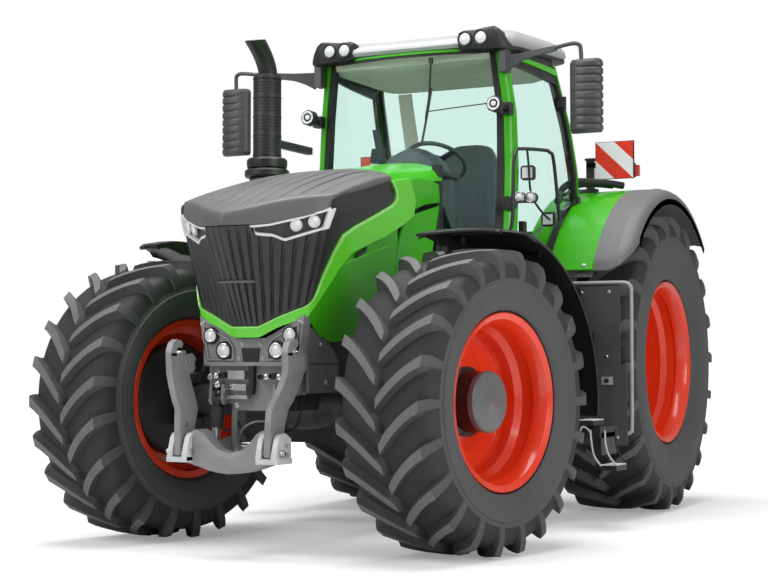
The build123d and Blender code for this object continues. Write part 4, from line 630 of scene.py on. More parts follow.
def build_wheels():
    """All four wheels: tyres, rims, hubs and caps."""
    for hand, mirror in hands:
        for end, width, disc, reach, out_left, out_right in wheels:
            low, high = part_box(f"tyre_{end}_{hand}")
            rim_low, rim_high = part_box(f"rim_{end}_{hand}")
            rim_radius = (rim_high.z - rim_low.z) / 2
            shift = out_left if mirror > 0 else -out_right
            place = wheel_matrix(f"spin_{end}_{hand}") @ Matrix.Translation((shift, 0, 0))
            body = f"wheel_{end}_{hand}"
            tyre = tyre_shape(width, (high.z - low.z) / 2, rim_radius)
            rim, hub, cap = rim_parts(width, rim_radius, disc, reach)
            for shape in (tyre, rim, hub, cap):
                if mirror < 0:
                    shape.flipped()
                shape.moved(place)
            rubbers = [rubber, rubber_scuff_and_highlight, rubber_painted_shade]
            piece(tyre, f"{end}_tyre_{hand}", body, rubbers, [f"tyre_{end}_{hand}"], 0.0035, 32)
            piece(rim, f"{end}_rim_{hand}", body, rim_red, [f"rim_{end}_{hand}"], 0.002, 30)
            piece(hub, f"{end}_hub_{hand}", body, black_plastic, (), 0.002, 30)
            piece(cap, f"{end}_hub_cap_{hand}", body, hub_grey, (), 0.0015, 30)


build_wheels()


# ---- bonnet -------------------------------------------------------------------------------
# Places on the bonnet count from the front axle: y is metres behind it.
nose_reach = 0.50  # length given to the front face, from its middle to its outer corner
corner_y = -0.61  # where the front face meets the side
nose_share = 0.3  # the share of the front face that its flat middle takes


def hood_half(y, z):
    """Half the bonnet's width at a place and height; the sides lean in towards their foot."""
    nose = 0.376 + 0.26 * (min(z, 2.02) - 1.447)
    middle = 0.440 + 0.09 * (min(z, 2.26) - 1.447)
    rear = 0.440 + 0.05 * (min(z, 2.35) - 1.447)
    return interpolate(((corner_y, nose), (0.3, middle), (1.2, rear)), y)[0]


def wall_line(u, z):
    """The outline at a height: u < 0 along the front face to the corner, u > 0 along the side."""
    if u > 0:
        return Vector((hood_half(corner_y + u, z), corner_y + u, z))
    share = 1 + u / nose_reach
    inner = Vector((0.149 + 0.105 * (z - 1.89), -0.918 + 0.373 * (1.89 - z), z))
    middle = Vector((0, -0.978 + 0.452 * (1.894 - z), z))
    outer = Vector((hood_half(corner_y, z), corner_y, z))
    if share < nose_share:
        edge = middle.lerp(inner, abs(share) / nose_share)
        edge.x *= -1 if share < 0 else 1
        return edge
    return inner.lerp(outer, (share - nose_share) / (1 - nose_share))


def wall(u, z, out=0.0):
    """A point of the bonnet's wall with soft corners, raised along its normal."""

    def at(a, b):
        return (wall_line(a - 0.022, b) + wall_line(a, b) + wall_line(a + 0.022, b)) / 3

    here = at(u, z)
    normal = (at(u + 0.004, z) - here).cross(at(u, z + 0.004) - here).normalized()
    return front(*(here + normal * out))


def panel(shape, lower, upper, columns, rows, relief=None, lift=0.0, depth=0.012, mark=0, surface=wall):
    """A wall panel between two lines of (u, z), with turned-in edges."""
    low = [(k / (len(lower) - 1), *p) for k, p in enumerate(lower)]
    high = [(k / (len(upper) - 1), *p) for k, p in enumerate(upper)]
    outside = []
    inside = []
    for i in range(columns + 1):
        foot = interpolate(low, i / columns)
        head = interpolate(high, i / columns)
        for j in range(rows + 1):
            u, z = (a + (b - a) * j / rows for a, b in zip(foot, head))
            outside.append(surface(u, z, lift + (relief(u, z, j / rows) if relief else 0)))
            inside.append(surface(u, z, lift - depth))
    shape.sheet(outside, inside, columns, rows, mark)


def side(*places):
    """(y, z) places on the bonnet's side as wall places."""
    return [(y - corner_y, z) for y, z in places]


def even(line, count):
    """A line of (u, z) cut into evenly many steps by length."""
    lengths = [0]
    for a, b in zip(line, line[1:]):
        lengths.append(lengths[-1] + hypot(b[0] - a[0], b[1] - a[1]))
    table = [(d, *p) for d, p in zip(lengths, line)]
    return [interpolate(table, lengths[-1] * k / count) for k in range(count + 1)]


# lines on the wall, by (u, z)
flat_u = -nose_reach * (1 - nose_share)
chin_top = [(-nose_reach, 1.327), (flat_u, 1.327), (-0.20, 1.385), (-0.03, 1.442)]
chin_foot = [(-nose_reach, 1.266), (flat_u, 1.266), (-0.20, 1.325), (-0.01, 1.376)]
band_inner = side((-0.600, 1.478), (-0.560, 1.624), (-0.498, 1.758), (-0.430, 1.862), (-0.294, 1.923))
band_inner += side((-0.029, 2.015), (0.180, 2.088), (0.232, 2.125), (0.225, 2.170), (0.145, 2.232))
band_outer = side((-0.585, 1.440), (-0.500, 1.560), (-0.404, 1.688), (-0.300, 1.770), (-0.160, 1.815))
band_outer += side((0.080, 1.885), (0.330, 1.975), (0.490, 2.050), (0.500, 2.150), (0.385, 2.272))
cover_edge = [(-nose_reach, 1.888), (flat_u, 1.892), (-0.26, 1.905), (-0.12, 1.950), (0.0, 2.005)]
cover_side = side((-0.599, 2.042), (-0.375, 2.108), (-0.083, 2.173), (0.150, 2.232))
lamp_foot = [(flat_u + 0.02, 1.880), (-0.325, 1.836), (-0.245, 1.832), (-0.190, 1.806), (-0.010, 1.880)]
grille_head = cover_edge[:2] + lamp_foot[1:]
skirt = side((-0.600, 1.376), (-0.45, 1.275), (-0.30, 1.235), (-0.10, 1.260), (0.15, 1.340), (0.40, 1.510))


def rib(u, z, share):
    """Corrugation of the grille: broad pillars with narrow valleys, level at its ends."""
    wave = max(0.0, cos(2 * pi * (u + nose_reach) / 0.0556 + pi)) ** 2
    ends = min(1, share / 0.05, (1 - share) / 0.05)
    return -0.013 * wave * ends


def build_grille():
    """The dark front with its ribs, and the plain dark panels behind the lamps."""
    shape = Shape()
    # the front: its columns follow the ribs
    steps = 30
    foot = [-nose_reach + 0.47 * k / steps for k in range(steps + 1)]
    head = [-nose_reach + 0.49 * k / steps for k in range(steps + 1)]
    foot = [(u, interpolate(chin_top, u)[0]) for u in foot]
    head = [(u, interpolate(grille_head, u)[0]) for u in head]
    panel(shape, foot, head, 110, 14, rib)
    # beside and behind the lamps
    low = [(-0.028, 1.445)] + band_inner
    high = [(-0.008, 1.90), (0.0, 1.95)] + [(u, z + 0.020) for u, z in cover_side]
    panel(shape, even(low, 24), even(high, 24), 40, 8)
    # a plain ledge across the ribs
    ledge = [[(u, z) for u in (-0.500, -0.350)] for z in (1.578, 1.588)]
    panel(shape, *ledge, 6, 1, lift=0.012, depth=0.02, mark=1)
    shape.doubled()
    finishes = [grille_black, cover_grey]
    piece(shape, "grille_shell", "bonnet", finishes, ["grille"], 0.002, 40)


def build_band():
    """The green frame that rises from the chin along the side, and the green panels below it."""
    shape = Shape()
    inner = even(chin_top + band_inner, 64)
    outer = even(chin_foot + band_outer, 64)

    def fold(u, z, share):
        """Raised towards the outer edge."""
        return 0.010 + 0.014 * (1 - share) * min(1, max(0, (u + 0.05) / 0.2))

    # the band takes the lighter green: painted light
    panel(shape, outer, inner, 96, 6, fold, depth=0.030, mark=1)
    # a pale strip along the grille's edge, a painted highlight; the small scoop; and the crease under the band, a thin
    # strip of the band's lighter green, a painted highlight
    near = [(a[0] + (b[0] - a[0]) * 0.91, a[1] + (b[1] - a[1]) * 0.91) for a, b in zip(outer, inner)]
    panel(shape, near, inner, 96, 2, lift=0.0145, depth=0.01, mark=2)
    scoop = [(0.385, 1.738), (0.505, 1.784)], [(0.395, 1.768), (0.505, 1.812)]
    panel(shape, *scoop, 6, 2, lift=0.012, depth=0.01, mark=3)
    crease = [(0.17, 1.632), (0.23, 1.675), (0.32, 1.712), (0.48, 1.752), (0.78, 1.828)]
    panel(shape, crease, [(u, z + 0.007) for u, z in crease], 30, 1, lift=0.006, depth=0.012, mark=1)
    # the recessed panel under the band, down to the skirt
    top = side((-0.590, 1.420), (-0.500, 1.545), (-0.404, 1.673), (-0.300, 1.755), (-0.160, 1.800))
    top += side((0.080, 1.870), (0.318, 1.960))
    panel(shape, even(skirt, 24), even(top, 24), 40, 10, lift=-0.006)
    # behind the upright gap, under the second gap
    gap = side((0.415, 1.520), (0.330, 1.700), (0.335, 1.821), (0.360, 1.918), (0.410, 1.990), (0.510, 2.052))
    rear = side((0.800, 1.560), (0.860, 1.760), (0.880, 1.900), (0.905, 1.980), (0.925, 2.070), (0.940, 2.150))
    panel(shape, even(gap, 16)[::-1], even(rear, 16)[::-1], 24, 8, lift=-0.002)
    # between the two lengthwise gaps
    low = side((0.520, 2.085), (0.700, 2.136), (0.945, 2.172))
    high = side((0.400, 2.262), (0.577, 2.290), (0.757, 2.298), (0.905, 2.290))
    panel(shape, even(low, 10), even(high, 10), 20, 6)
    shape.doubled()
    finishes = [green, band_painted_light, edge_painted_highlight, grille_black]
    piece(shape, "bonnet_sides", "bonnet", finishes, ["bonnet"], 0.004, 32, 3)


crown = (  # y, height of the bonnet's middle
    (-1.0, 1.940),
    (-0.955, 1.972),
    (-0.904, 2.000),
    (-0.750, 2.066),
    (-0.527, 2.149),
    (-0.250, 2.232),
    (0.031, 2.302),
    (0.350, 2.352),
    (0.650, 2.394),
    (0.950, 2.440),
    (1.200, 2.484),
)
crown_line = [(p.x, p.y) for p in smooth_line([(y, z, 0) for y, z in crown], 6)]
cover_widest = 0.500
cover_grooves = 9
grooved_share = 0.86  # of the cover's half width


def hood_top(share, y):
    """Height of the bonnet's top a share of the way out from its middle."""
    drop = interpolate(((-0.95, 0.01), (-0.61, 0.045), (0.2, 0.055), (1.2, 0.07)), y)[0]
    return interpolate(crown_line, y)[0] - drop * abs(share) ** 2.4


def cover_front(share):
    """Front edge of the cover's top, a share of the way out."""
    edge = ((0, -0.955), (0.13, -0.905), (0.16, -0.888), (0.42, -0.665), (0.47, -0.615), (0.50, -0.560))
    return interpolate(edge, abs(share) * cover_widest)[0]


def cover_rear(share):
    """Rear edge of the cover's top."""
    return 0.345 - 0.185 * abs(share) ** 2.2


def cover_half(y):
    """Half the width of the cover's top."""
    return min(hood_half(y, 2.26) - 0.020, cover_widest) if y > corner_y else cover_widest


def groove_wave(share):
    """1 in the middle of each groove of the cover."""
    return cos(2 * pi * (share * cover_grooves / 2 / grooved_share + 0.5))


def build_cover():
    """The grey cover: a grooved top with a thick rounded lip round its front and sides."""
    columns = 180
    rows = 36
    shape = Shape()

    def top(i, j):
        share = -1 + 2 * i / columns
        y = cover_front(share) + (cover_rear(share) - cover_front(share)) * (j / rows)
        z = hood_top(share, y)
        if abs(share) < grooved_share:
            ends = min(1, max(0, (j - 2) / 3), max(0, (rows - j) / 2))
            z -= 0.008 * max(0, groove_wave(share)) ** 6 * ends
        return Vector((share * cover_half(y), y, z))

    def lip_foot(p):
        """The lip's lower edge, under a place on the border."""
        if p.y > corner_y + 0.02:
            return interpolate([(u + corner_y, z) for u, z in cover_side], p.y)[0] + 0.006
        reach = interpolate(((0, -0.50), (0.149, flat_u), (0.50, -0.02)), abs(p.x))[0]
        return interpolate(cover_edge, reach)[0] + 0.006

    shape.add([top(i, j) for i in range(columns + 1) for j in range(rows + 1)], [])
    # faces along the middle of each groove take the black finish: painted shade in the grooves
    for i in range(columns):
        share = abs(-1 + 2 * (i + 0.5) / columns)
        grooved = share < grooved_share and groove_wave(share) > 0.78
        for j in range(rows):
            k = i * (rows + 1) + j
            shape.faces.append([k, k + rows + 1, k + rows + 2, k + 1])
            shape.marks.append(1 if grooved and 2 < j < rows - 2 else 0)
    # the lip hangs from the border: from the rear left corner round the front to the rear right one
    border = border_of(columns, rows)
    first = len(shape.points)
    section = (  # outwards, share of the way down
        (0.008, 0.06), (0.015, 0.20), (0.019, 0.42), (0.020, 0.72), (0.020, 1.0), (0.004, 1.0), (-0.01, 0.8),
    )
    depth = len(section)
    for k, corner in enumerate(border):
        p = shape.points[corner]
        before = shape.points[border[max(k - 1, 0)]]
        after = shape.points[border[min(k + 1, len(border) - 1)]]
        out = Vector((after.y - before.y, before.x - after.x, 0)).normalized()
        drop = upward * (lip_foot(p) - p.z)
        shape.points += [p + out * sideways + drop * share for sideways, share in section]
        if k:
            a = first + (k - 1) * depth
            b = first + k * depth
            shape.faces.append([border[k - 1], corner, b, a])
            shape.faces += [[a + m, b + m, b + m + 1, a + m + 1] for m in range(depth - 1)]
            shape.marks += [0] * depth
    shape.moved(Matrix.Translation(to_rear * axle_y))
    finishes = [cover_grey, grille_black]
    piece(shape, "bonnet_cover_top", "bonnet", finishes, ["bonnet_cover"], 0.0, 50)


def build_hood_rear():
    """The green top behind the cover, up to the cab."""
    columns = 24
    rows = 24
    edge_share = 0.9  # the outer edges roll down from here
    grid = []
    for i in range(columns + 1):
        share = -1 + 2 * i / columns
        start = cover_rear(share) + 0.008
        end = 1.18 - 0.21 * abs(share) ** 3
        for j in range(rows + 1):
            y = start + (end - start) * j / rows
            z = hood_top(share, y)
            if abs(share) > edge_share:
                z -= 0.05 * ((abs(share) - edge_share) / (1 - edge_share)) ** 2
            grid.append(front(share * (hood_half(y, 2.30) - 0.003), y, z))
    shape = Shape()
    shape.sheet(grid, [p - upward * 0.012 for p in grid], columns, rows)
    piece(shape, "bonnet_top_rear", "bonnet", green, (), 0.004, 40, 3)


def build_headlamps():
    """Each headlamp: a black housing, pale frame strips and two round lenses."""
    shape = Shape()
    foot = even(lamp_foot, 20)
    edge = even(cover_edge[1:], 20)

    def raised(line, height):
        return [(u, z + height) for u, z in line]

    panel(shape, foot, raised(edge, -0.006), 30, 6, lift=-0.030, depth=0.02)
    # frame strips along the head and the foot, and a block at the outer end
    panel(shape, raised(edge, -0.014), raised(edge, -0.002), 30, 2, lift=-0.004, depth=0.028, mark=1)
    panel(shape, foot, raised(foot, 0.014), 30, 2, lift=-0.004, depth=0.028, mark=1)
    block = [(-0.022, 1.876), (0.010, 1.888)], [(-0.010, 1.990), (0.028, 2.004)]
    panel(shape, *block, 4, 6, lift=0.008, depth=0.030, mark=1)
    lens = ((0, 0.036), (0.014, 0.036), (0.016, 0.033), (0.012, 0.031), (0.020, 0.022), (0.023, 0.0))
    for u, z in ((-0.142, 1.898), (-0.065, 1.921)):
        centre = wall(u, z, -0.022)
        shape.turned(lens, centre, wall(u, z, 0.1) - centre, 32, 2)
    shape.doubled()
    finishes = [grille_black, board_white, lamp_white]
    piece(shape, "headlamp_units", "bonnet", finishes, ["headlamps"], 0.0015, 35)


build_grille()
build_band()
build_cover()
build_hood_rear()
build_headlamps()


# ---- cab ----------------------------------------------------------------------------------
# The cab's outline is followed by s: 0 at the middle of the windscreen, 1 at the front corner,
# 2 at the rear corner and 3 at the middle of the rear window.
cab_front = (  # height, half width and place of the front corner
    (1.54, 0.742, 1.500),
    (2.05, 0.755, 1.550),
    (2.45, 0.760, 1.568),
    (2.86, 0.745, 1.575),
    (3.15, 0.706, 1.552),
    (3.36, 0.680, 1.540),
)
cab_rear = (  # the same of the rear corner
    (1.54, 0.780, 2.780),
    (2.10, 0.800, 2.800),
    (2.54, 0.800, 2.735),
    (2.86, 0.786, 2.620),
    (3.17, 0.756, 2.470),
    (3.36, 0.730, 2.400),
)
roof_slope = 0.065  # the eaves rise towards the rear
lowest_edge_radius = 1.300  # the cab's lower edges stay this far from the rear fenders' middle
wheelhouse_x = 0.60  # and outside this place across
rear_arch = (1.243, 1.150)  # y and height of the rear fenders' middle
pane = [(1.045, 1.80), (1.930, 1.80)], [(1.045, 3.21), (1.930, 3.165)]
door_glazing = [(1.045, 1.80), (1.925, 1.80)], [(1.045, 3.21), (1.925, 3.165)]


def cab_line(s, z):
    """The cab's outline at a height."""
    front_x, front_y = interpolate(cab_front, z)
    rear_x, rear_y = interpolate(cab_rear, z)
    bulge = interpolate(((1.6, 0.24), (2.5, 0.21), (3.25, 0.13)), z)[0]
    if s < 1:
        return Vector((front_x * s, front_y - bulge * (1 - abs(s) ** 2.2), z))
    if s < 2:
        t = s - 1
        x = front_x + (rear_x - front_x) * t + 0.09 * t * (1 - t)
        return Vector((x, front_y + (rear_y - front_y) * t, z))
    t = 3 - s
    return Vector((rear_x * t, rear_y + 0.07 * (1 - abs(t) ** 2.2), z))


def cab_wall(s, z, out=0.0):
    """A point of the cab's wall, raised along its normal."""

    def at(a, b):
        return (cab_line(a - 0.02, b) + cab_line(a, b) + cab_line(a + 0.02, b)) / 3

    here = at(s, z)
    normal = (at(s + 0.004, z) - here).cross(at(s, z + 0.004) - here).normalized()
    return front(*(here + normal * out))


def cab_strip(shape, lower, upper, columns=6, rows=20, lift=0.0, depth=0.02, mark=0):
    panel(shape, lower, upper, columns, rows, lift=lift, depth=depth, mark=mark, surface=cab_wall)


def upright(s0, s1, z0, z1):
    """Lower and upper lines of an upright strip."""
    return [(s0, z0), (s1, z0)], [(s0, z1), (s1, z1)]


def above_fender(shape, opening=False):
    """Lifts the cab's lower edges onto the rear fenders, and a door's clear of them as it swings."""
    middle_y, middle_z = rear_arch
    hinge_y = joints["door_hinge"]["pos_m"][1]
    for p in shape.points:
        if abs(p.x) < wheelhouse_x:
            continue
        back = middle_y - p.y
        if opening:
            back = middle_y - (hinge_y + p.y) / 2
        if abs(back) < lowest_edge_radius:
            p.z = max(p.z, middle_z + sqrt(lowest_edge_radius**2 - back**2))


def build_cab_shell():
    """Pillars, headers and the dark panels under the glass."""
    shape = Shape()
    cab_strip(shape, *upright(0.925, 1.036, 1.76, 3.255), lift=0.010, depth=0.055)
    cab_strip(shape, *upright(1.958, 2.035, 1.90, 3.285), lift=0.008, depth=0.050)
    cab_strip(shape, [(1.036, 3.226), (1.958, 3.215)], [(1.036, 3.248), (1.958, 3.262)], 24, 3, 0.008, 0.03)
    cab_strip(shape, [(2.035, 3.235), (2.99, 3.235)], [(2.035, 3.285), (2.99, 3.285)], 24, 3, 0.004, 0.03)
    shape.doubled()
    cab_strip(shape, [(-0.925, 3.266), (0.925, 3.266)], [(-0.925, 3.280), (0.925, 3.280)], 48, 2, 0.012, 0.03)
    above_fender(shape)
    piece(shape, "cab_green_frame", "chassis", green, ["cab_frame"], 0.006, 40, 3)

    dark = Shape()
    cab_strip(dark, *upright(0.868, 0.928, 1.76, 3.255), lift=0.002, depth=0.045)
    cab_strip(dark, *upright(1.928, 1.962, 1.90, 3.20), lift=0.000, depth=0.040)
    cab_strip(dark, *upright(2.030, 2.085, 1.90, 3.24), lift=0.000, depth=0.040)
    cab_strip(dark, [(1.036, 3.190), (1.958, 3.150)], [(1.036, 3.300), (1.958, 3.345)], 24, 4, -0.004, 0.03)
    cab_strip(dark, *upright(0.42, 1.05, 1.545, 1.775), 16, 6, lift=0.000, depth=0.04)
    cab_strip(dark, *upright(1.05, 1.98, 1.545, 1.790), 24, 6, lift=0.004, depth=0.05)
    cab_strip(dark, *upright(1.98, 2.99, 1.545, 2.060), 24, 6, lift=0.004, depth=0.05)
    dark.doubled()
    cab_strip(dark, [(-0.93, 3.252), (0.93, 3.252)], [(-0.93, 3.266), (0.93, 3.266)], 48, 2, 0.002, 0.03)
    # the scuttle between the bonnet and the windscreen
    dark.box(front(-0.42, 1.06, 2.375), front(0.42, 1.42, 2.400))
    # the gasket round the bonnet's rear edge
    gasket = Shape()
    foot, head = side((0.950, 1.56), (1.010, 1.56)), side((0.935, 2.42), (1.000, 2.42))
    panel(gasket, foot, head, 2, 24, lift=-0.012, depth=0.05)
    dark.join(gasket.doubled())
    above_fender(dark)
    replaced = ["windscreen", "cab_glass"]
    piece(dark, "cab_dark_frame", "chassis", black_plastic, replaced, 0.003, 40)

    trim = Shape()
    cab_strip(trim, *upright(2.27, 2.41, 1.80, 3.20), 12, 12, lift=-0.060, depth=0.03)
    trim.flipped()
    # the lining under the roof
    rings = []
    for z, grow in ((3.300, 0.02), (3.215, 0.0), (3.190, -0.05), (3.186, -0.20)):
        rings.append(rounded_outline(0.660 + grow, 1.52 - grow, 2.52 + grow, 0.10, z))
    trim.loft(rings)
    above_fender(trim)
    piece(trim, "cab_lining", "chassis", cabin_beige, (), 0.004, 40)


def rounded_outline(half, near, far, radius, z, slope=0.0):
    """A ring of a rounded rectangle; its height follows the slope back from the front."""
    ring = []
    for cx, cy, first in (
        (half - radius, far - radius, 0),
        (-half + radius, far - radius, 90),
        (-half + radius, near + radius, 180),
        (half - radius, near + radius, 270),
    ):
        for k in range(9):
            turn = radians(first + 90 * k / 8)
            y = cy + radius * sin(turn)
            ring.append(front(cx + radius * cos(turn), y, z + slope * (y - 1.42)))
    return ring


def build_cab_glass():
    """The windscreen, the fixed right pane and the rear window."""
    shape = Shape()
    cab_strip(shape, [(-0.880, 1.76), (0.880, 1.76)], [(-0.880, 3.245), (0.880, 3.245)], 60, 16, -0.014, 0.005)
    cab_strip(shape, [(2.07, 2.06), (3.93, 2.06)], [(2.07, 3.24), (3.93, 3.24)], 40, 12, -0.014, 0.005)
    right = Shape()
    cab_strip(right, *pane, 24, 12, -0.012, 0.005)
    shape.join(right.flipped())
    above_fender(shape)
    piece(shape, "cab_windows", "chassis", glass, (), 0.0, 60)


def build_door():
    """The left door: its pane, thin dark edge, hinges, handle and grab rail."""
    left = Shape()
    cab_strip(left, *door_glazing, 24, 12, -0.012, 0.005)
    above_fender(left, True)
    piece(left, "door_pane", "cab_door", glass, ["door_glass"], 0.0, 60)
    edge = Shape()
    cab_strip(edge, *upright(1.040, 1.052, 1.80, 3.205), lift=0.002, depth=0.03)
    cab_strip(edge, *upright(1.912, 1.926, 1.80, 3.165), lift=0.002, depth=0.03)
    cab_strip(edge, *upright(1.052, 1.912, 1.795, 1.825), 24, 2, lift=0.002, depth=0.03)
    cab_strip(edge, [(1.052, 3.188), (1.912, 3.148)], [(1.052, 3.206), (1.912, 3.166)], 24, 2, 0.002, 0.03)
    for z in (2.30, 3.02):
        # hinges at the rear edge
        place = cab_wall(1.93, z, 0.018)
        edge.rod(place - upward * 0.05, place + upward * 0.05, 0.016)
        edge.box(place + Vector((-0.03, -0.06, -0.03)), place + Vector((0.0, 0.0, 0.03)))
    handle = cab_wall(1.09, 2.02, 0.0)
    edge.box(handle + Vector((0.0, -0.03, -0.07)), handle + Vector((0.035, 0.035, 0.07)))
    rail = [(0.775, 1.255, 1.99), (0.862, 1.262, 2.02), (0.868, 1.285, 2.42), (0.868, 1.330, 2.53)]
    rail += [(0.868, 1.420, 2.560), (0.868, 1.840, 2.600), (0.868, 1.960, 2.600), (0.868, 2.045, 2.545)]
    rail += [(0.868, 2.150, 2.160), (0.868, 2.200, 1.985), (0.790, 2.205, 1.970)]
    edge.pipe([front(*p) for p in rail], 0.0125, 14)
    above_fender(edge, True)
    piece(edge, "door_edge_and_rail", "cab_door", black_plastic, ["cab_door"], 0.002, 40)


def build_rail_lamps():
    """Two square lamps, a pair of round ones, a drum behind them and the wires beside the door."""
    shape = Shape()
    half, cut = 0.05, 0.036
    outline = ((-half, -cut), (-cut, -half), (cut, -half), (half, -cut))
    outline += tuple((-x, -z) for x, z in outline)
    for y, z in ((1.579, 2.416), (1.970, 2.127)):
        x, y = 0.850, y + axle_y
        shape.prism([(x + a, z + b) for a, b in outline], "y", y, y + 0.035)
        shape.box((x - cut, y - 0.004, z - cut), (x + cut, y + 0.001, z + cut), 1)
        for k in range(4):
            # cooling fins behind
            fin = z - 0.034 + 0.02 * k
            shape.box((x - 0.040, y + 0.035, fin), (x + 0.040, y + 0.060, fin + 0.008))
        shape.rod((x, y + 0.05, z), (0.868, y + 0.075, z - 0.02), 0.009)
    for x, y in ((0.815, 1.517), (0.880, 1.560)):
        centre = front(x, y, 2.245)
        shape.turned(((0.10, 0.02), (0.06, 0.036), (0.0, 0.040)), centre, to_rear, 24)
        ring = ((-0.004, 0.040), (-0.010, 0.038), (-0.010, 0.032), (0.0, 0.030))
        shape.turned(ring, centre, to_rear, 24, 2)
        shape.turned(((0.0, 0.031), (-0.008, 0.022), (-0.011, 0.0)), centre, to_rear, 24, 1)
    drum = ((0.0, 0.0), (0.0, 0.048), (0.075, 0.052), (0.10, 0.040), (0.11, 0.0))
    shape.turned(drum, front(0.790, 1.345, 2.189), to_rear, 24)
    wire = ((1.53, 2.58), (1.56, 2.47), (1.60, 2.28), (1.72, 2.20), (1.93, 2.13), (2.14, 2.12))
    shape.pipe([front(0.868, y, z) for y, z in wire], 0.008, 10)
    shape.pipe([front(0.80, 1.40, 2.19), front(0.83, 1.50, 2.21), front(0.86, 1.62, 2.22)], 0.010, 10)
    finishes = [black_plastic, lamp_white, chrome]
    piece(shape, "rail_lamps", "cab_door", finishes, (), 0.0015, 40)


def build_roof():
    """The pale roof: a thin eave that rises to the rear under a low dome, and its dark gutter."""
    shape = Shape()
    stations = (  # height, half width, front, rear, corner radius
        (3.286, 0.700, 1.470, 2.660, 0.16),
        (3.290, 0.752, 1.425, 2.720, 0.18),
        (3.312, 0.768, 1.410, 2.740, 0.20),
        (3.345, 0.766, 1.418, 2.735, 0.21),
        (3.385, 0.742, 1.470, 2.715, 0.23),
        (3.415, 0.695, 1.550, 2.670, 0.24),
        (3.440, 0.610, 1.660, 2.590, 0.24),
        (3.452, 0.480, 1.790, 2.480, 0.22),
        (3.458, 0.300, 1.930, 2.360, 0.18),
    )
    shape.loft([rounded_outline(*place, z, roof_slope) for z, *place in stations])
    for p in shape.points:
        # the middle of the front is lower than the shoulders
        dip = max(0, 1 - (abs(p.x) / 0.62) ** 3) * min(1, max(0, 1 - (p.y - axle_y - 1.42) / 0.7))
        p.z -= 0.060 * dip * min(1, max(0, (p.z - 3.325) / 0.05))
    piece(shape, "roof_shell", "chassis", roof_grey, ["cab_roof"], 0.0, 50)
    gutter = Shape()
    gutter.loft(
        [
            rounded_outline(0.735, 1.560, 2.705, 0.17, 3.262, roof_slope),
            rounded_outline(0.756, 1.530, 2.724, 0.18, 3.268, roof_slope),
            rounded_outline(0.758, 1.520, 2.726, 0.18, 3.288, roof_slope),
        ]
    )
    piece(gutter, "roof_gutter", "chassis", black_plastic, (), 0.0, 50)


def build_roof_lamps():
    """Two twin lamps on the roof's front corners and a round one on each front pillar."""
    shape = Shape()
    sections = (  # distance out, bottom, top, front
        (0.395, 3.290, 3.372, 1.440),
        (0.410, 3.268, 3.395, 1.412),
        (0.440, 3.256, 3.405, 1.400),
        (0.525, 3.258, 3.402, 1.396),
        (0.600, 3.250, 3.412, 1.392),
        (0.668, 3.248, 3.420, 1.398),
        (0.700, 3.250, 3.402, 1.410),
        (0.735, 3.254, 3.345, 1.428),
        (0.756, 3.262, 3.300, 1.450),
    )
    rings = []
    for x, low, high, y in sections:
        soft = 0.22 * (high - low)
        ring = ((y, low + soft), (y + 0.3 * soft, low + 0.3 * soft), (y + soft, low), (y + 0.22, low + 0.02))
        ring += ((y + 0.24, high - 0.03), (y + soft, high), (y + 0.3 * soft, high - 0.3 * soft), (y, high - soft))
        rings.append([front(x, a, b) for a, b in ring])
    shape.loft(rings)
    for x, z in ((0.468, 3.338), (0.586, 3.340)):
        centre = front(x, 1.398, z)
        ring = ((0.03, 0.056), (-0.012, 0.054), (-0.014, 0.050), (-0.006, 0.045))
        shape.turned(ring, centre, to_rear, 32)
        shape.turned(((-0.002, 0.046), (-0.010, 0.034), (-0.013, 0.0)), centre, to_rear, 32, 1)
    # pillar lamps on their arms
    centre = front(0.716, 1.309, 2.862)
    for profile, sides, mark in (
        (((0.0, 0.050), (0.004, 0.058), (0.050, 0.058), (0.085, 0.044), (0.090, 0.0)), 8, 0),
        (((-0.006, 0.051), (0.006, 0.051)), 24, 0),
        (((-0.005, 0.046), (-0.010, 0.044), (-0.010, 0.034), (-0.006, 0.032)), 24, 1),
        (((-0.005, 0.020), (-0.012, 0.014), (-0.013, 0.0)), 24, 1),
    ):
        shape.turned(profile, centre, to_rear, sides, mark)
    shape.rod(centre + to_rear * 0.07, front(0.735, 1.50, 2.855), 0.022)
    shape.box(front(0.700, 1.47, 2.815), front(0.765, 1.55, 2.895))
    shape.doubled()
    finishes = [black_plastic, lamp_white]
    piece(shape, "cab_lamps", "chassis", finishes, ["work_lamps"], 0.002, 40)


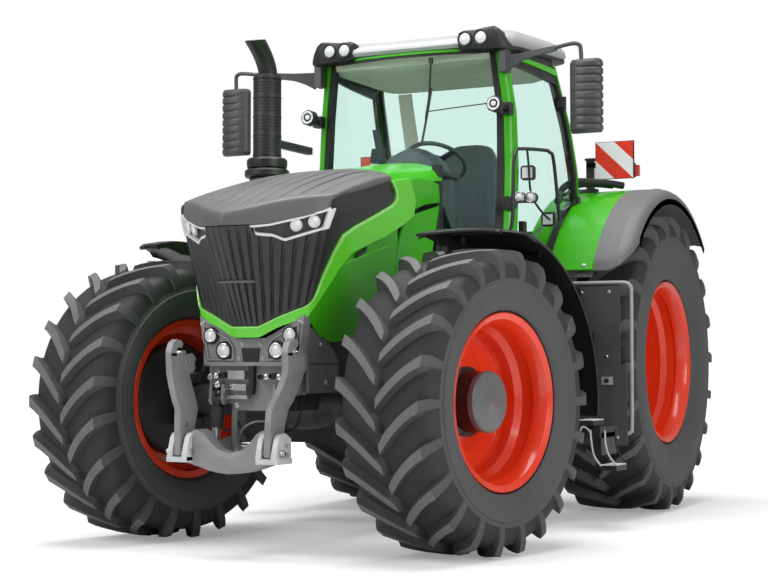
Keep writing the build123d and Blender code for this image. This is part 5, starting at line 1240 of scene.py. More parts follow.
def build_mirrors():
    """Door mirrors on long arms: ribbed covers with the glass facing back."""
    shape = Shape()
    shape.box(front(0.692, 1.455, 3.105), front(0.745, 1.550, 3.262))
    arm = []
    for x, y, z, tall, wide in (
        (0.745, 1.470, 3.150, 0.120, 0.030),
        (0.800, 1.440, 3.165, 0.085, 0.030),
        (0.880, 1.400, 3.178, 0.052, 0.028),
        (1.020, 1.355, 3.192, 0.040, 0.026),
        (1.160, 1.330, 3.204, 0.036, 0.026),
    ):
        corners = ((-1, -1), (1, -1), (1, 1), (-1, 1))
        arm.append([front(x, y + a * wide / 2, z + b * tall / 2) for a, b in corners])
    shape.loft(arm)
    bend = [(1.14, 1.330, 3.205), (1.22, 1.325, 3.218), (1.285, 1.325, 3.224), (1.318, 1.328, 3.212)]
    bend += [(1.328, 1.332, 3.185), (1.330, 1.340, 3.10)]
    shape.pipe([front(*p) for p in bend], 0.014, 14)
    foot, head, pitch = 2.632, 3.118, 0.054
    rings = []
    rows = 64
    for k in range(rows + 1):
        z = foot + (head - foot) * k / rows
        end = max(0, min(1, (z - foot) / 0.02, (head - z) / 0.02))
        inset = 0.012 * (1 - end)
        groove = 0.012 * max(0, cos(2 * pi * (z - foot) / pitch)) ** 4 * end
        left, right = 1.238 + inset, 1.462 - inset
        ring = [(left, 1.395), (left, 1.370), (left + 0.012, 1.345), (1.300, 1.322 + inset)]
        ring += [(1.345, 1.316 + inset + groove), (1.425 - groove, 1.322 + inset + groove)]
        ring += [(right - 0.006 - groove, 1.350), (right - groove, 1.395)]
        rings.append([front(x, y, z) for x, y in ring])
    shape.loft(rings)
    for low, high in ((2.800, 3.100), (2.650, 2.780)):
        shape.box(front(1.255, 1.395, low), front(1.445, 1.400, high), 1)
    shape.doubled()
    finishes = [panel_grey, mirror_glass]
    piece(shape, "mirror_heads", "chassis", finishes, ["mirrors"], 0.002, 40)


def build_interior():
    """Instrument hood, armrest, screens, the seat's pedestal, and the wiper."""
    shape = Shape()
    rings = []
    for y, half, top, base in (
        (1.42, 0.20, 2.50, 2.30),
        (1.46, 0.255, 2.60, 2.20),
        (1.55, 0.275, 2.635, 2.05),
        (1.66, 0.27, 2.62, 1.95),
        (1.72, 0.24, 2.58, 1.95),
    ):
        ring = [front(-half - 0.02, y, base)]
        for k in range(17):
            turn = pi * (1 - k / 16)
            height = base + (top - half - base) * 0.999 + half * sin(turn) * 0.98
            ring.append(front(half * cos(turn), y, height))
        rings.append(ring + [front(half + 0.02, y, base)])
    shape.loft(rings)
    shape.box(front(-0.20, 1.45, 1.60), front(0.20, 1.72, 2.25))
    # the armrest console and the screens on it
    shape.box(front(-0.56, 2.00, 1.60), front(-0.33, 2.58, 2.04))
    armrest = ((1.92, 2.10), (1.94, 2.17), (2.46, 2.21), (2.50, 2.15), (2.46, 2.08), (2.00, 2.05))
    shape.prism([(y + axle_y, z) for y, z in armrest], "x", -0.46, -0.31)
    shape.rod(front(-0.44, 1.95, 2.10), front(-0.44, 1.90, 2.62), 0.014)
    for x0, z0, x1, z1, lean, thick in (
        (-0.520, 2.590, -0.425, 2.700, 0.0, 0.05),
        (-0.455, 2.600, -0.405, 2.840, -0.06, 0.03),
    ):
        outline = ((x0, 1.90, z0), (x1, 1.90, z0), (x1 + lean, 1.93, z1), (x0 + lean, 1.93, z1))
        shape.loft([[front(x, y + deep, z) for x, y, z in outline] for deep in (0, thick)])
    # the seat's pedestal, the left console by the door, and a shelf under the rear window
    shape.box(front(-0.19, 2.14, 1.60), front(0.19, 2.52, 1.90))
    shape.box(front(0.33, 2.15, 1.60), front(0.58, 2.62, 1.98))
    shape.box(front(-0.66, 2.60, 1.60), front(0.66, 2.70, 2.10))
    replaced = ["dashboard", "console"]
    piece(shape, "cab_interior", "chassis", cabin_dark, replaced, 0.012, 40, 3)

    wiper = Shape()
    pivot = cab_wall(0.29, 3.21, 0.012)
    wiper.rod(pivot - upward * 0.02, pivot + upward * 0.02, 0.016)
    for line, radius, sides in (
        ((pivot, cab_wall(0.27, 2.98, 0.022), cab_wall(0.235, 2.80, 0.024)), 0.007, 8),
        ((cab_wall(0.29, 3.02, 0.010), cab_wall(0.235, 2.80, 0.010), cab_wall(0.20, 2.62, 0.012)), 0.009, 6),
        ((cab_wall(0.245, 2.855, 0.012), cab_wall(0.5, 2.875, 0.008), cab_wall(0.80, 2.900, 0.006)), 0.004, 6),
    ):
        wiper.pipe(line, radius, sides)
    piece(wiper, "wiper", "chassis", black_plastic, (), 0.0, 40)


def build_steering_wheel():
    """The wheel on its column's line: a rim with three spokes and a padded boss."""
    turn_joint = joints["steering_wheel_turn"]
    axis = Vector(turn_joint["axis"]).normalized()
    if axis.z < 0:
        axis = -axis
    base = Vector(turn_joint["pos_m"])
    centre = base + axis * ((2.575 - base.z) / axis.z)
    third = axis.cross(to_left).normalized()
    shape = Shape()
    rim = circle(centre, to_left, third, 0.215, 40)
    shape.loft([circle(p, (p - centre).normalized(), axis, 0.016, 10) for p in rim], around=True)
    boss = ((-0.05, 0.035), (-0.015, 0.070), (0.012, 0.070), (0.024, 0.050), (0.026, 0.0))
    shape.turned(boss, centre, axis, 32)
    thick = axis * 0.006
    for turn in (radians(90), radians(210), radians(330)):
        out = to_left * cos(turn) + third * sin(turn)
        wide = axis.cross(out) * 0.022
        section = (-wide - thick, wide - thick, wide + thick, thick - wide)
        shape.loft([[centre + out * reach + p for p in section] for reach in (0.05, 0.12, 0.205)])
    shape.rod(base, centre, 0.022)
    replaced = ["steering_wheel"]
    piece(shape, "steering_wheel_rim", "steering_wheel", cabin_dark, replaced, 0.003, 40)


def cushion(name, rings):
    """A padded form lofted through rings and rounded by subdivision."""
    shape = Shape()
    shape.loft(rings)
    piece(shape, name, "chassis", seat_black, ["seat"], 0.0, 180, levels=2)


def build_seat():
    """The driver's seat: a cushion, a high back with side bolsters, both upholstered."""
    seat = []
    for y, half, low, high in (
        (2.00, 0.235, 1.95, 2.035),
        (2.03, 0.25, 1.92, 2.075),
        (2.20, 0.255, 1.90, 2.060),
        (2.40, 0.250, 1.90, 2.045),
        (2.49, 0.235, 1.92, 2.060),
    ):
        ring = [(-half, low), (-half - 0.012, (low + high) / 2), (-half + 0.02, high + 0.012)]
        ring += [(-half * 0.55, high - 0.004), (0, high - 0.012)]
        ring += [(-x, z) for x, z in reversed(ring[:4])] + [(0, low - 0.01)]
        seat.append([front(x, y, z) for x, z in ring])
    cushion("seat_cushion", seat)
    back = []
    for z, half, near, far in (
        (2.00, 0.235, 2.43, 2.53),
        (2.06, 0.25, 2.42, 2.55),
        (2.25, 0.255, 2.44, 2.57),
        (2.45, 0.245, 2.46, 2.60),
        (2.62, 0.225, 2.49, 2.62),
        (2.73, 0.185, 2.52, 2.63),
        (2.775, 0.120, 2.55, 2.61),
    ):
        ring = [(-half, far), (-half - 0.01, (near + far) / 2), (-half + 0.02, near - 0.018)]
        ring += [(-half * 0.55, near + 0.002), (0, near + 0.010)]
        ring += [(-x, y) for x, y in reversed(ring[:4])] + [(0, far + 0.012)]
        back.append([front(x, y, z) for x, y in ring])
    cushion("seat_back", back)


build_cab_shell()
build_cab_glass()
build_door()
build_rail_lamps()
build_roof()
build_roof_lamps()
build_mirrors()
build_interior()
build_steering_wheel()
build_seat()


# ---- front fenders and knuckles -----------------------------------------------------------
fender_gap = 0.110  # over the tyre
fender_inner = 0.060  # from the kingpin, outwards
fender_outer = 0.563
fender_end = -6  # degrees from level, at the rear
fender_front_edge = (  # place across, degrees from level at the tip
    (0.045, 103),
    (0.060, 103),
    (0.20, 99.5),
    (0.31, 95.5),
    (0.40, 91.5),
    (0.47, 87),
    (0.53, 82),
    (0.563, 76),
)
fender_wall_start = 103.5  # degrees, the tip of the wall along the inner edge
# a dark drum inside each front wheel: partly the real hub, drawn wide to fill the wheel's inside with painted shade
shade_drum_profile = ((0.07, 0.20), (0.07, 0.34), (0.09, 0.36), (0.138, 0.36), (0.138, 0.12))


def knuckle_matrix(hand):
    """Places a piece drawn about the left kingpin, the wheel straight ahead."""
    return Matrix.Translation(joints[f"steering_{hand}"]["pos_m"]) @ turned_to(f"spin_front_{hand}")


def fender_radius(hand):
    """The front fender's lower face, from the wheel's middle."""
    low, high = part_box(f"tyre_front_{hand}")
    return (high.z - low.z) / 2 + fender_gap


def over_wheel(x, turn, radius):
    """A place over the wheel; turn counts from level, at the rear."""
    return Vector((x, radius * cos(radians(turn)), radius * sin(radians(turn))))


def build_front_fender(hand):
    """A black fender over a front wheel: an arched sheet with rolled lips and a slanting tip."""
    radius = fender_radius(hand)
    columns = 28
    rows = 56
    lip = 0.022
    layers = []
    for lift in (0.012, 0.0):
        grid = []
        for i in range(columns + 1):
            x = fender_inner + (fender_outer - fender_inner) * i / columns
            first = interpolate(fender_front_edge, x)[0]
            edge = min(x - fender_inner, fender_outer - x)
            roll = lip * max(0, 1 - edge / lip) ** 2
            for j in range(rows + 1):
                turn = first + (fender_end - first) * j / rows
                tip = 0.010 * max(0, 1 - j / 3)
                grid.append(over_wheel(x, turn, radius + lift - roll - tip))
        layers.append(grid)
    shape = Shape()
    shape.sheet(*layers, columns, rows)
    # the wall along the inner edge, deepening from the tip
    for j in range(rows):
        corners = []
        for k in (j, j + 1):
            turn = fender_wall_start + (fender_end - fender_wall_start) * k / rows
            deep = 0.078 * min(1, max(0.15, (fender_wall_start - turn) / 14))
            corners += [(turn, radius + 0.004), (turn, radius - deep)]
        corners = [corners[k] for k in (0, 2, 3, 1)]
        faces = (fender_inner - 0.004, fender_inner + 0.006)
        shape.loft([[over_wheel(x, turn, r) for turn, r in corners] for x in faces])
    # two stays under the sheet
    for turn in (62, 88):
        start = over_wheel(fender_inner + 0.01, turn, radius - 0.012)
        shape.rod(start, start + to_left * 0.40, 0.014, 12)
    if hand == "right":
        shape.flipped()
    shape.moved(knuckle_matrix(hand))
    piece(
        shape, f"front_fender_sheet_{hand}", f"knuckle_{hand}", black_plastic,
        [f"front_fender_{hand}"], 0.0, 60,
    )


def build_knuckle(hand):
    """The cast knuckle with its kingpin bosses, steering arm and the fender's curved stay."""
    shape = Shape()
    for low, high in ((0.115, 0.165), (-0.165, -0.115)):
        boss = ((low, 0.075), (low, 0.105), (high - 0.01, 0.105), (high, 0.092), (high, 0.0))
        shape.turned(boss, origin, upward, 32)
    shape.rod((0, 0, -0.16), (0, 0, 0.16), 0.032)
    shape.box((0.02, -0.07, 0.115), (0.175, 0.07, 0.160))
    shape.box((0.02, -0.07, -0.160), (0.175, 0.07, -0.115))
    shape.box((0.130, -0.10, -0.160), (0.178, 0.10, 0.160))
    shape.turned(((0.12, 0.125), (0.20, 0.125), (0.215, 0.105), (0.26, 0.10)), origin, to_left, 32)
    # the dark drum inside the wheel, partly the hub and partly painted shade
    shape.turned(shade_drum_profile, origin, to_left, 64)
    # the steering arm and its ball joint
    shape.box((-0.05, 0.04, -0.150), (0.03, 0.26, -0.118))
    ball = ((0, 0.030), (0.05, 0.030), (0.058, 0.016), (0.075, 0.016))
    shape.turned(ball, (-0.01, 0.245, -0.175), upward, 20)
    for place in circle(upward * 0.162, to_left, to_rear, 0.075, 6):
        shape.bolt(place, upward, 0.010)
    # the fender's stay
    top = fender_radius(hand)
    stay = [(-0.10, 0.02, 0.13), (-0.115, 0.08, 0.30), (-0.10, 0.14, 0.55), (-0.05, 0.17, 0.78)]
    stay += [(0.03, 0.17, top - 0.055), (0.12, 0.16, top - 0.040)]
    shape.pipe(stay, 0.024, 12)
    shape.box((-0.13, -0.02, 0.10), (-0.03, 0.06, 0.17))
    if hand == "right":
        shape.flipped()
    shape.moved(knuckle_matrix(hand))
    piece(
        shape, f"knuckle_casting_{hand}", f"knuckle_{hand}", dark_iron,
        [f"knuckle_{hand}"], 0.004, 35,
    )


# ---- front linkage ------------------------------------------------------------------------
def ring_lamp(shape, centre, radius):
    """A round lamp looking forward: dark recess, bright ring, pale lens."""
    for mark, profile in enumerate(
        (
            ((0.012, 1.28), (-0.006, 1.25), (-0.006, 1.08), (0.010, 1.04)),
            ((0.008, 1.00), (-0.012, 0.98), (-0.014, 0.88), (-0.004, 0.76)),
            ((-0.002, 0.78), (-0.010, 0.56), (-0.014, 0.0)),
        ),
        1,
    ):
        shape.turned([(along, radius * share) for along, share in profile], centre, to_rear, 36, mark)


def build_bracket_plate(shape):
    """The bracket's upper plate with a raised rim round each pair of lamps, bolts and cheeks."""
    half = [(0.0, 1.258), (0.095, 1.260), (0.150, 1.284), (0.354, 1.392)]
    half += [(0.336, 1.270), (0.318, 1.180), (0.303, 1.118), (0.0, 1.118)]
    outline = half + [(-x, z) for x, z in reversed(half[1:-1])]
    shape.prism(outline, "y", axle_y - 0.645, axle_y - 0.560)
    rim = ((0.112, 1.128), (0.112, 1.205), (0.145, 1.258), (0.330, 1.350), (0.318, 1.262), (0.296, 1.132))
    inset = ((0.124, 1.138), (0.124, 1.203), (0.153, 1.249), (0.316, 1.331), (0.306, 1.262), (0.286, 1.142))
    for hand in (1, -1):
        lines = [[front(hand * x, y, z) for x, z in line] for y in (-0.646, -0.657) for line in (rim, inset)]
        # the rim's outer side, face and inner side
        rings = list(zip(lines[0], lines[2], lines[3], lines[1]))
        shape.loft(rings, closed=False, around=True)
        for x, z, size in ((0.177, 1.188, 0.044), (0.268, 1.276, 0.040)):
            ring_lamp(shape, front(hand * x, -0.655, z), size)
        for x, z in ((0.325, 1.352), (0.290, 1.148), (0.340, 1.345), (0.060, 1.226), (0.082, 1.140)):
            shape.bolt(front(hand * x, -0.645, z), -to_rear, 0.0085, 4)
        # the cheeks run back along the frame
        shape.box(front(hand * 0.300, -0.645, 1.10), front(hand * 0.325, -0.420, 1.30))


def build_bracket_body(shape):
    """The bracket's middle and lower housing with its ledge, rib, bolts, couplings and bars."""
    middle = ((-0.062, 1.202), (0.062, 1.202), (0.050, 1.120), (-0.050, 1.120))
    shape.prism(middle, "y", axle_y - 0.652, axle_y - 0.640, 1)
    shape.box(front(-0.300, -0.655, 1.098), front(0.300, -0.540, 1.120))
    body = [(-0.290, 1.098), (-0.290, 0.940), (-0.215, 0.885), (-0.150, 0.875), (-0.110, 0.838)]
    body += [(0.125, 0.838), (0.165, 0.875), (0.235, 0.890), (0.292, 0.940), (0.292, 1.098)]
    shape.prism(body, "y", axle_y - 0.615, axle_y - 0.500)
    ridge = ((-0.016, 1.098), (-0.012, 0.98), (-0.030, 0.93), (0.010, 0.93), (0.018, 0.98), (0.020, 1.098))
    shape.prism(ridge, "y", axle_y - 0.650, axle_y - 0.610, 1)
    bolts = [(-0.115, 0.868), (0.118, 0.868), (0.175, 0.975), (-0.150, 0.975), (-0.245, 1.06)]
    for x, z in bolts + [(0.255, 0.950), (-0.250, 0.950)]:
        shape.bolt(front(x, -0.615, z), -to_rear, 0.013, 5)
    for x, z, size, mark in (  # short sockets with flip caps
        (0.075, 1.035, 0.014, 1),
        (0.115, 1.035, 0.013, 5),
        (0.155, 1.040, 0.018, 1),
        (0.200, 1.034, 0.013, 5),
        (-0.185, 1.045, 0.016, 1),
        (-0.225, 1.040, 0.013, 5),
        (-0.265, 1.035, 0.014, 4),
        (-0.215, 0.990, 0.015, 5),
        (-0.175, 0.960, 0.012, 4),
        (-0.235, 0.965, 0.012, 1),
    ):
        socket = [(0.03, size), (-0.035, size), (-0.037, size * 1.25), (-0.052, size * 1.25)]
        socket += [(-0.055, size * 0.8), (-0.045, size * 0.7)]
        shape.turned(socket, front(x, -0.62, z), to_rear, 16, mark)
    for low, high, mark in (  # the bars that hold them
        ((0.045, -0.645, 1.018), (0.215, -0.615, 1.050), 4),
        ((-0.150, -0.660, 1.020), (-0.035, -0.612, 1.070), 4),
        ((-0.165, -0.655, 0.905), (-0.020, -0.612, 0.925), 4),
        ((-0.120, -0.650, 0.955), (-0.030, -0.612, 0.990), 5),
    ):
        shape.box(front(*low), front(*high), mark)
    for z in (1.078, 1.037):
        place = front(0.262, -0.66, z)
        shape.turned(((0.05, 0.020), (-0.020, 0.022), (-0.026, 0.015), (-0.027, 0.0)), place, to_rear, 20, 6)
        shape.turned(((0.06, 0.025), (0.00, 0.026), (-0.004, 0.022)), place, to_rear, 20, 1)


def build_bracket_lugs(shape):
    """Lugs down to the lift's pivot, and ears over its cylinders, with their pins."""
    pivot = Vector(joints["front_lift"]["pos_m"])
    top = Vector(joints["front_lift_barrel_swing"]["pos_m"])
    lug = [(axle_y - 0.50, 0.92), (axle_y - 0.61, 0.92)]
    lug += [(pivot.y + y, pivot.z + z) for y, z in ((-0.052, 0), (-0.028, -0.046), (0.028, -0.046), (0.052, 0))]
    ear = ((0.06, 0.09), (-0.02, 0.09), (-0.030, 0), (-0.014, -0.028), (0.014, -0.028), (0.034, 0))
    ear = [(top.y + y, top.z + z) for y, z in ear]
    for hand in (1, -1):
        shape.prism(lug, "x", hand * 0.112, hand * 0.148)
        for x in (0.165, 0.247):
            shape.prism(ear, "x", hand * x, hand * (x + 0.018))
        shape.rod((hand * 0.158, top.y, top.z), (hand * 0.274, top.y, top.z), 0.017, 20, 4)
    shape.rod((-0.205, pivot.y, pivot.z), (0.205, pivot.y, pivot.z), 0.021, 20, 4)


def build_front_bracket():
    """The cast front bracket with four lamps, lower housing, couplings and bolts."""
    shape = Shape()
    build_bracket_plate(shape)
    build_bracket_body(shape)
    build_bracket_lugs(shape)
    piece(
        shape, "front_bracket_casting", "chassis",
        [cast_grey, black_plastic, chrome, lamp_white, steel, chrome, blue_cap],
        ["front_bracket", "bracket_lamps"], 0.002, 35,
    )


def build_lift_bar():
    """The cast crossbar of the front lift, its two pale clevises and the arms back to its pivot."""
    pivot = Vector(joints["front_lift"]["pos_m"])
    pin = Vector(joints["front_arm_left"]["pos_m"])
    shape = Shape()
    stations = [  # place across, top, bottom, front, rear
        (-0.300, 0.655, 0.560, -0.930, -0.780),
        (-0.262, 0.715, 0.545, -0.930, -0.745),
        (-0.225, 0.735, 0.530, -0.915, -0.730),
        (-0.180, 0.715, 0.515, -0.905, -0.735),
        (-0.130, 0.662, 0.500, -0.900, -0.750),
        (-0.080, 0.622, 0.490, -0.900, -0.760),
        (0.0, 0.602, 0.484, -0.905, -0.765),
    ]
    stations += [(-x, *rest) for x, *rest in reversed(stations[:-1])]
    rings = []
    for x, high, low, near, far in stations:
        soft = 0.24 * (high - low)
        ring = ((near + 0.02, low), (near, low + soft), (near, high - soft), (near + 0.025, high))
        ring += ((far - 0.03, high), (far, high - soft), (far, low + soft), (far - 0.03, low))
        rings.append([front(x, y, z) for y, z in ring])
    shape.loft(rings)
    cheek = [(-0.800, 0.555), (-0.970, 0.558), (-0.976, 0.590), (-0.944, 0.690), (-0.920, 0.715)]
    cheek += [(-0.860, 0.720), (-0.800, 0.690)]
    cheek = [(y + axle_y, z) for y, z in cheek]
    arm = ((-0.05, 0.044), (0.018, 0.050), (0.050, 0), (0.018, -0.050), (-0.06, -0.056))
    arm = [(axle_y - 0.80, 0.545), (axle_y - 0.80, 0.640)] + [(pivot.y + y, pivot.z + z) for y, z in arm]
    lug = ((-0.78, 0.56), (-0.78, 0.66), (-0.700, 0.628), (-0.672, 0.600), (-0.700, 0.572))
    lug = [(y + axle_y, z) for y, z in lug]
    for hand in (1, -1):
        # the clevis: two cheeks, their floor, pin and bolts
        for x in (0.228, 0.327):
            shape.prism(cheek, "x", hand * x, hand * (x + 0.032), 1)
        shape.box(front(hand * 0.228, -0.970, 0.550), front(hand * 0.367, -0.800, 0.580), 1)
        shape.rod((hand * 0.215, pin.y, pin.z), (hand * 0.380, pin.y, pin.z), 0.019, 24, 2)
        shape.bolt((hand * 0.380, pin.y, pin.z), to_left * hand, 0.014, 2)
        for y, z in ((-0.87, 0.655), (-0.865, 0.60)):
            shape.bolt(front(hand * 0.367, y, z), to_left * hand, 0.010, 2)
        # the arm to the pivot, and the lugs of the cylinder's eye with their pin
        shape.prism(arm, "x", hand * 0.152, hand * 0.182)
        for x in (0.174, 0.250):
            shape.prism(lug, "x", hand * x, hand * (x + 0.012))
        shape.rod(front(hand * 0.170, -0.700, 0.600), front(hand * 0.266, -0.700, 0.600), 0.015, 20, 2)
    piece(
        shape, "front_lift_casting", "front_lift", [cast_grey, cast_pale, steel],
        ["front_lift_frame"], 0.005, 35, 3,
    )


def build_front_arm(hand):
    """A folded lower link: a flat bent plate with a claw and its catch at the top."""
    pin = Vector(joints[f"front_arm_{hand}"]["pos_m"])
    half = 0.020  # of the plate's thickness
    arm_top_x = 0.387
    stations = (  # height, place across, front, rear
        (0.578, 0.297, -0.945, -0.895),
        (0.590, 0.297, -0.962, -0.870),
        (0.640, 0.297, -0.966, -0.850),
        (0.720, 0.298, -0.964, -0.815),
        (0.850, 0.303, -0.955, -0.770),
        (0.900, 0.327, -0.948, -0.752),
        (0.990, 0.364, -0.930, -0.740),
        (1.040, 0.380, -0.922, -0.740),
        (1.060, 0.385, -0.920, -0.730),
        (1.100, arm_top_x, -0.920, -0.730),
        (1.150, arm_top_x, -0.925, -0.745),
        (1.160, arm_top_x, -0.925, -0.800),
        (1.172, arm_top_x, -0.925, -0.862),
    )
    shape = Shape()
    shape.loft(
        [
            [front(x - half, near, z), front(x + half, near, z), front(x + half, far, z), front(x - half, far, z)]
            for z, x, near, far in stations
        ]
    )
    claw = (  # y, height, half thickness
        (-0.895, 1.155, 0.030),
        (-0.893, 1.190, 0.028),
        (-0.880, 1.216, 0.026),
        (-0.855, 1.232, 0.022),
        (-0.826, 1.230, 0.018),
        (-0.808, 1.214, 0.014),
    )
    rings = []
    for k, (y, z, thick) in enumerate(claw):
        before = claw[max(k - 1, 0)]
        after = claw[min(k + 1, len(claw) - 1)]
        run = hypot(after[0] - before[0], after[1] - before[1])
        across = ((after[1] - before[1]) / run, -(after[0] - before[0]) / run)
        rings.append(
            [
                front(arm_top_x + side_x, y + across[0] * thick * share, z + across[1] * thick * share)
                for side_x, share in ((-half, -1), (half, -1), (half, 1), (-half, 1))
            ]
        )
    shape.loft(rings)
    # the catch: a pivoting plate on the arm's inner side
    catch = [(-0.770, 1.060), (-0.690, 1.055), (-0.660, 1.085), (-0.672, 1.120), (-0.655, 1.140)]
    catch += [(-0.690, 1.172), (-0.760, 1.165), (-0.800, 1.185), (-0.812, 1.130)]
    shape.prism([(y + axle_y, z) for y, z in catch], "x", 0.372, 0.384)
    shape.bolt(front(0.372, -0.765, 1.120), -to_left, 0.012, 1)
    shape.rod(front(0.360, -0.790, 1.178), front(0.430, -0.790, 1.178), 0.010, 14, 1)
    shape.rod(front(0.281, -0.905, 0.760), front(0.272, -0.905, 0.760), 0.016, 18, 1)
    shape.turned(((-0.027, 0.034), (0.027, 0.034)), (abs(pin.x), pin.y, pin.z), to_left, 24)
    if hand == "right":
        shape.flipped()
    piece(
        shape, f"front_link_{hand}", f"front_arm_{hand}", [cast_grey, steel],
        [f"front_arm_{hand}"], 0.004, 32, 3,
    )


def build_front_hoses():
    """Hoses and a cable behind the crossbar, and the dark guards beside the bracket."""
    shape = Shape()
    lines = (
        ((-0.10, -0.60, 0.70), (-0.05, -0.64, 0.74), (0.03, -0.64, 0.775), (0.13, -0.60, 0.78), (0.20, -0.55, 0.86)),
        ((-0.16, -0.56, 0.90), (-0.12, -0.60, 0.78), (-0.05, -0.58, 0.69), (0.05, -0.55, 0.66), (0.14, -0.52, 0.70)),
        ((0.10, -0.56, 0.88), (0.09, -0.59, 0.80), (0.05, -0.59, 0.72), (-0.04, -0.57, 0.68), (-0.12, -0.52, 0.70)),
        ((-0.24, -0.55, 0.93), (-0.27, -0.60, 0.84), (-0.26, -0.60, 0.76), (-0.20, -0.58, 0.72), (-0.12, -0.52, 0.74)),
        ((0.27, -0.52, 0.95), (0.30, -0.58, 0.86), (0.28, -0.58, 0.77), (0.21, -0.55, 0.72), (0.12, -0.50, 0.73)),
    )
    # the first is a thinner, grey cable
    for line, radius, mark in zip(lines, (0.006,) + 4 * (0.0075,), (1, 0, 0, 0, 0)):
        shape.pipe([front(*p) for p in line], radius, 10, mark)
    # plates beside the bracket, down to the axle
    plate = ((-0.560, 1.330), (-0.330, 1.255), (-0.200, 1.130), (-0.200, 0.940), (-0.560, 0.940))
    for hand in (1, -1):
        shape.prism([(y + axle_y, z) for y, z in plate], "x", hand * 0.318, hand * 0.338, 2)
        for y, z in ((-0.42, 1.22), (-0.36, 1.00)):
            shape.bolt(front(hand * 0.338, y, z), to_left * hand, 0.011, 3)
        shape.box(front(hand * 0.336, -0.555, 1.108), front(hand * 0.3405, -0.205, 1.112))
    piece(
        shape, "front_hoses_and_guards", "chassis",
        [hose_black, cast_grey, fender_grey, steel], (), 0.002, 40,
    )


for hand in ("left", "right"):
    build_front_fender(hand)
    build_knuckle(hand)
    build_front_arm(hand)
build_front_bracket()
build_lift_bar()
build_front_hoses()


# ---- fender extensions, guard, steps ------------------------------------------------------
arch_radius = 1.286
arch_y = 1.243
arch_z = 1.150
arch_ends = (29.3, 134)  # degrees from level, in front
corner_x = 1.20  # the front end rounds off from here outwards
roll_x = 1.275  # and the outer rim rolls down from here
seam_offset = 0.075  # the green part's width beside the fender


def arch(x, turn, radius):
    """A place on the rear fender's arch; turn counts from level, in front."""
    return Vector((x, arch_y - radius * cos(radians(turn)), arch_z + radius * sin(radians(turn))))


def build_fender_extensions():
    """The grey outer parts of the rear fenders, with a rolled rim and a rounded lower corner."""
    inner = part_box("rear_fenders")[1].x
    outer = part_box("fender_extensions")[1].x
    seam = inner + seam_offset
    columns = 30
    rows = 70
    flat = columns - 2  # the last two columns turn down at the rim
    layers = []
    for thickness in (0.0, 0.015):
        grid = []
        for i in range(columns + 1):
            x = inner + (outer - inner) * min(1, i / flat)
            t = max(0, (x - corner_x) / (outer - corner_x))
            start = arch_ends[0] + 14 * (1 - sqrt(max(0, 1 - t * t)))
            t = max(0, (x - roll_x) / (outer - roll_x))
            drop = 0.062 * (1 - sqrt(max(0, 1 - t * t))) - 0.004 * max(0, 1 - abs(t - 0.12) / 0.12)
            drop += 0.022 * max(0, i - flat)
            for j in range(rows + 1):
                fold = 0.020 * max(0, 1 - j / 2)
                turn = start + (arch_ends[1] - start) * j / rows
                grid.append(arch(x, turn, arch_radius - drop - thickness - fold))
        layers.append(grid)
    shape = Shape()
    shape.sheet(*layers, columns, rows)
    for i in range(columns):
        if inner + (outer - inner) * (i + 0.5) / flat < seam:
            for j in range(rows):
                shape.marks[2 * (i * rows + j)] = 1
    shape.doubled()
    piece(
        shape, "fender_extension_sheets", "chassis", [fender_grey, green],
        ["fender_extensions"], 0.0, 50,
    )
    # the green part's lower flange, and the dark liner below it
    flange = Shape()
    for radius, low, high, mark in ((1.292, 29.0, 32.0, 0), (1.262, 27.0, 29.2, 1)):
        section = ((low, radius), (high, radius), (high, radius - 0.02), (low, radius - 0.02))
        flange.loft([[arch(x, turn, r) for turn, r in section] for x in (0.640, seam - 0.006)], mark)
    for x in (0.73, seam - 0.07):
        flange.bolt(arch(x, 30.4, 1.293), arch(0, 30.4, 1) - arch(0, 30.4, 0), 0.013, 2)
    flange.box((0.66, arch_y - 1.12, 1.62), (1.00, arch_y - 1.10, 1.78), 1)
    flange.doubled()
    piece(flange, "fender_flanges", "chassis", [green, panel_grey, steel], (), 0.002, 30)


def build_guard():
    """The plate behind the steps with its tube rail, bolts and latch."""
    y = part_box("step_guard")[0].y
    shape = Shape()
    shape.box((0.70, y, 1.10), (1.335, y + 0.012, 1.655))
    shape.box((0.70, y - 0.004, 0.545), (1.385, y + 0.012, 1.105), 1)
    rail = [(0.90, 1.678), (1.30, 1.678), (1.372, 1.674), (1.402, 1.652), (1.412, 1.600)]
    rail += [(1.412, 1.20), (1.412, 0.70), (1.400, 0.638), (1.360, 0.622), (1.300, 0.622)]
    shape.pipe([(x, y + 0.026, z) for x, z in rail], 0.0130, 14, 2)
    for x, z in ((1.06, 1.610), (1.26, 1.610), (1.02, 1.16), (1.24, 1.16), (1.32, 0.60)):
        shape.bolt((x, y, z), -to_rear, 0.011, 3)
    # the latch, and the rail's brackets
    shape.box((1.205, y - 0.016, 0.965), (1.285, y, 1.020), 2)
    shape.turned(((0, 0.016), (0.02, 0.016), (0.022, 0.0)), (1.245, y - 0.016, 0.993), -to_rear, 18, 4)
    for z in (0.80, 1.25, 1.60):
        shape.box((1.33, y + 0.008, z - 0.015), (1.40, y + 0.020, z + 0.015))
    shape.doubled()
    piece(
        shape, "guard_panels", "chassis",
        [panel_grey, guard_dark, rail_grey, steel, black_plastic], ["step_guard"], 0.003, 30, 3,
    )


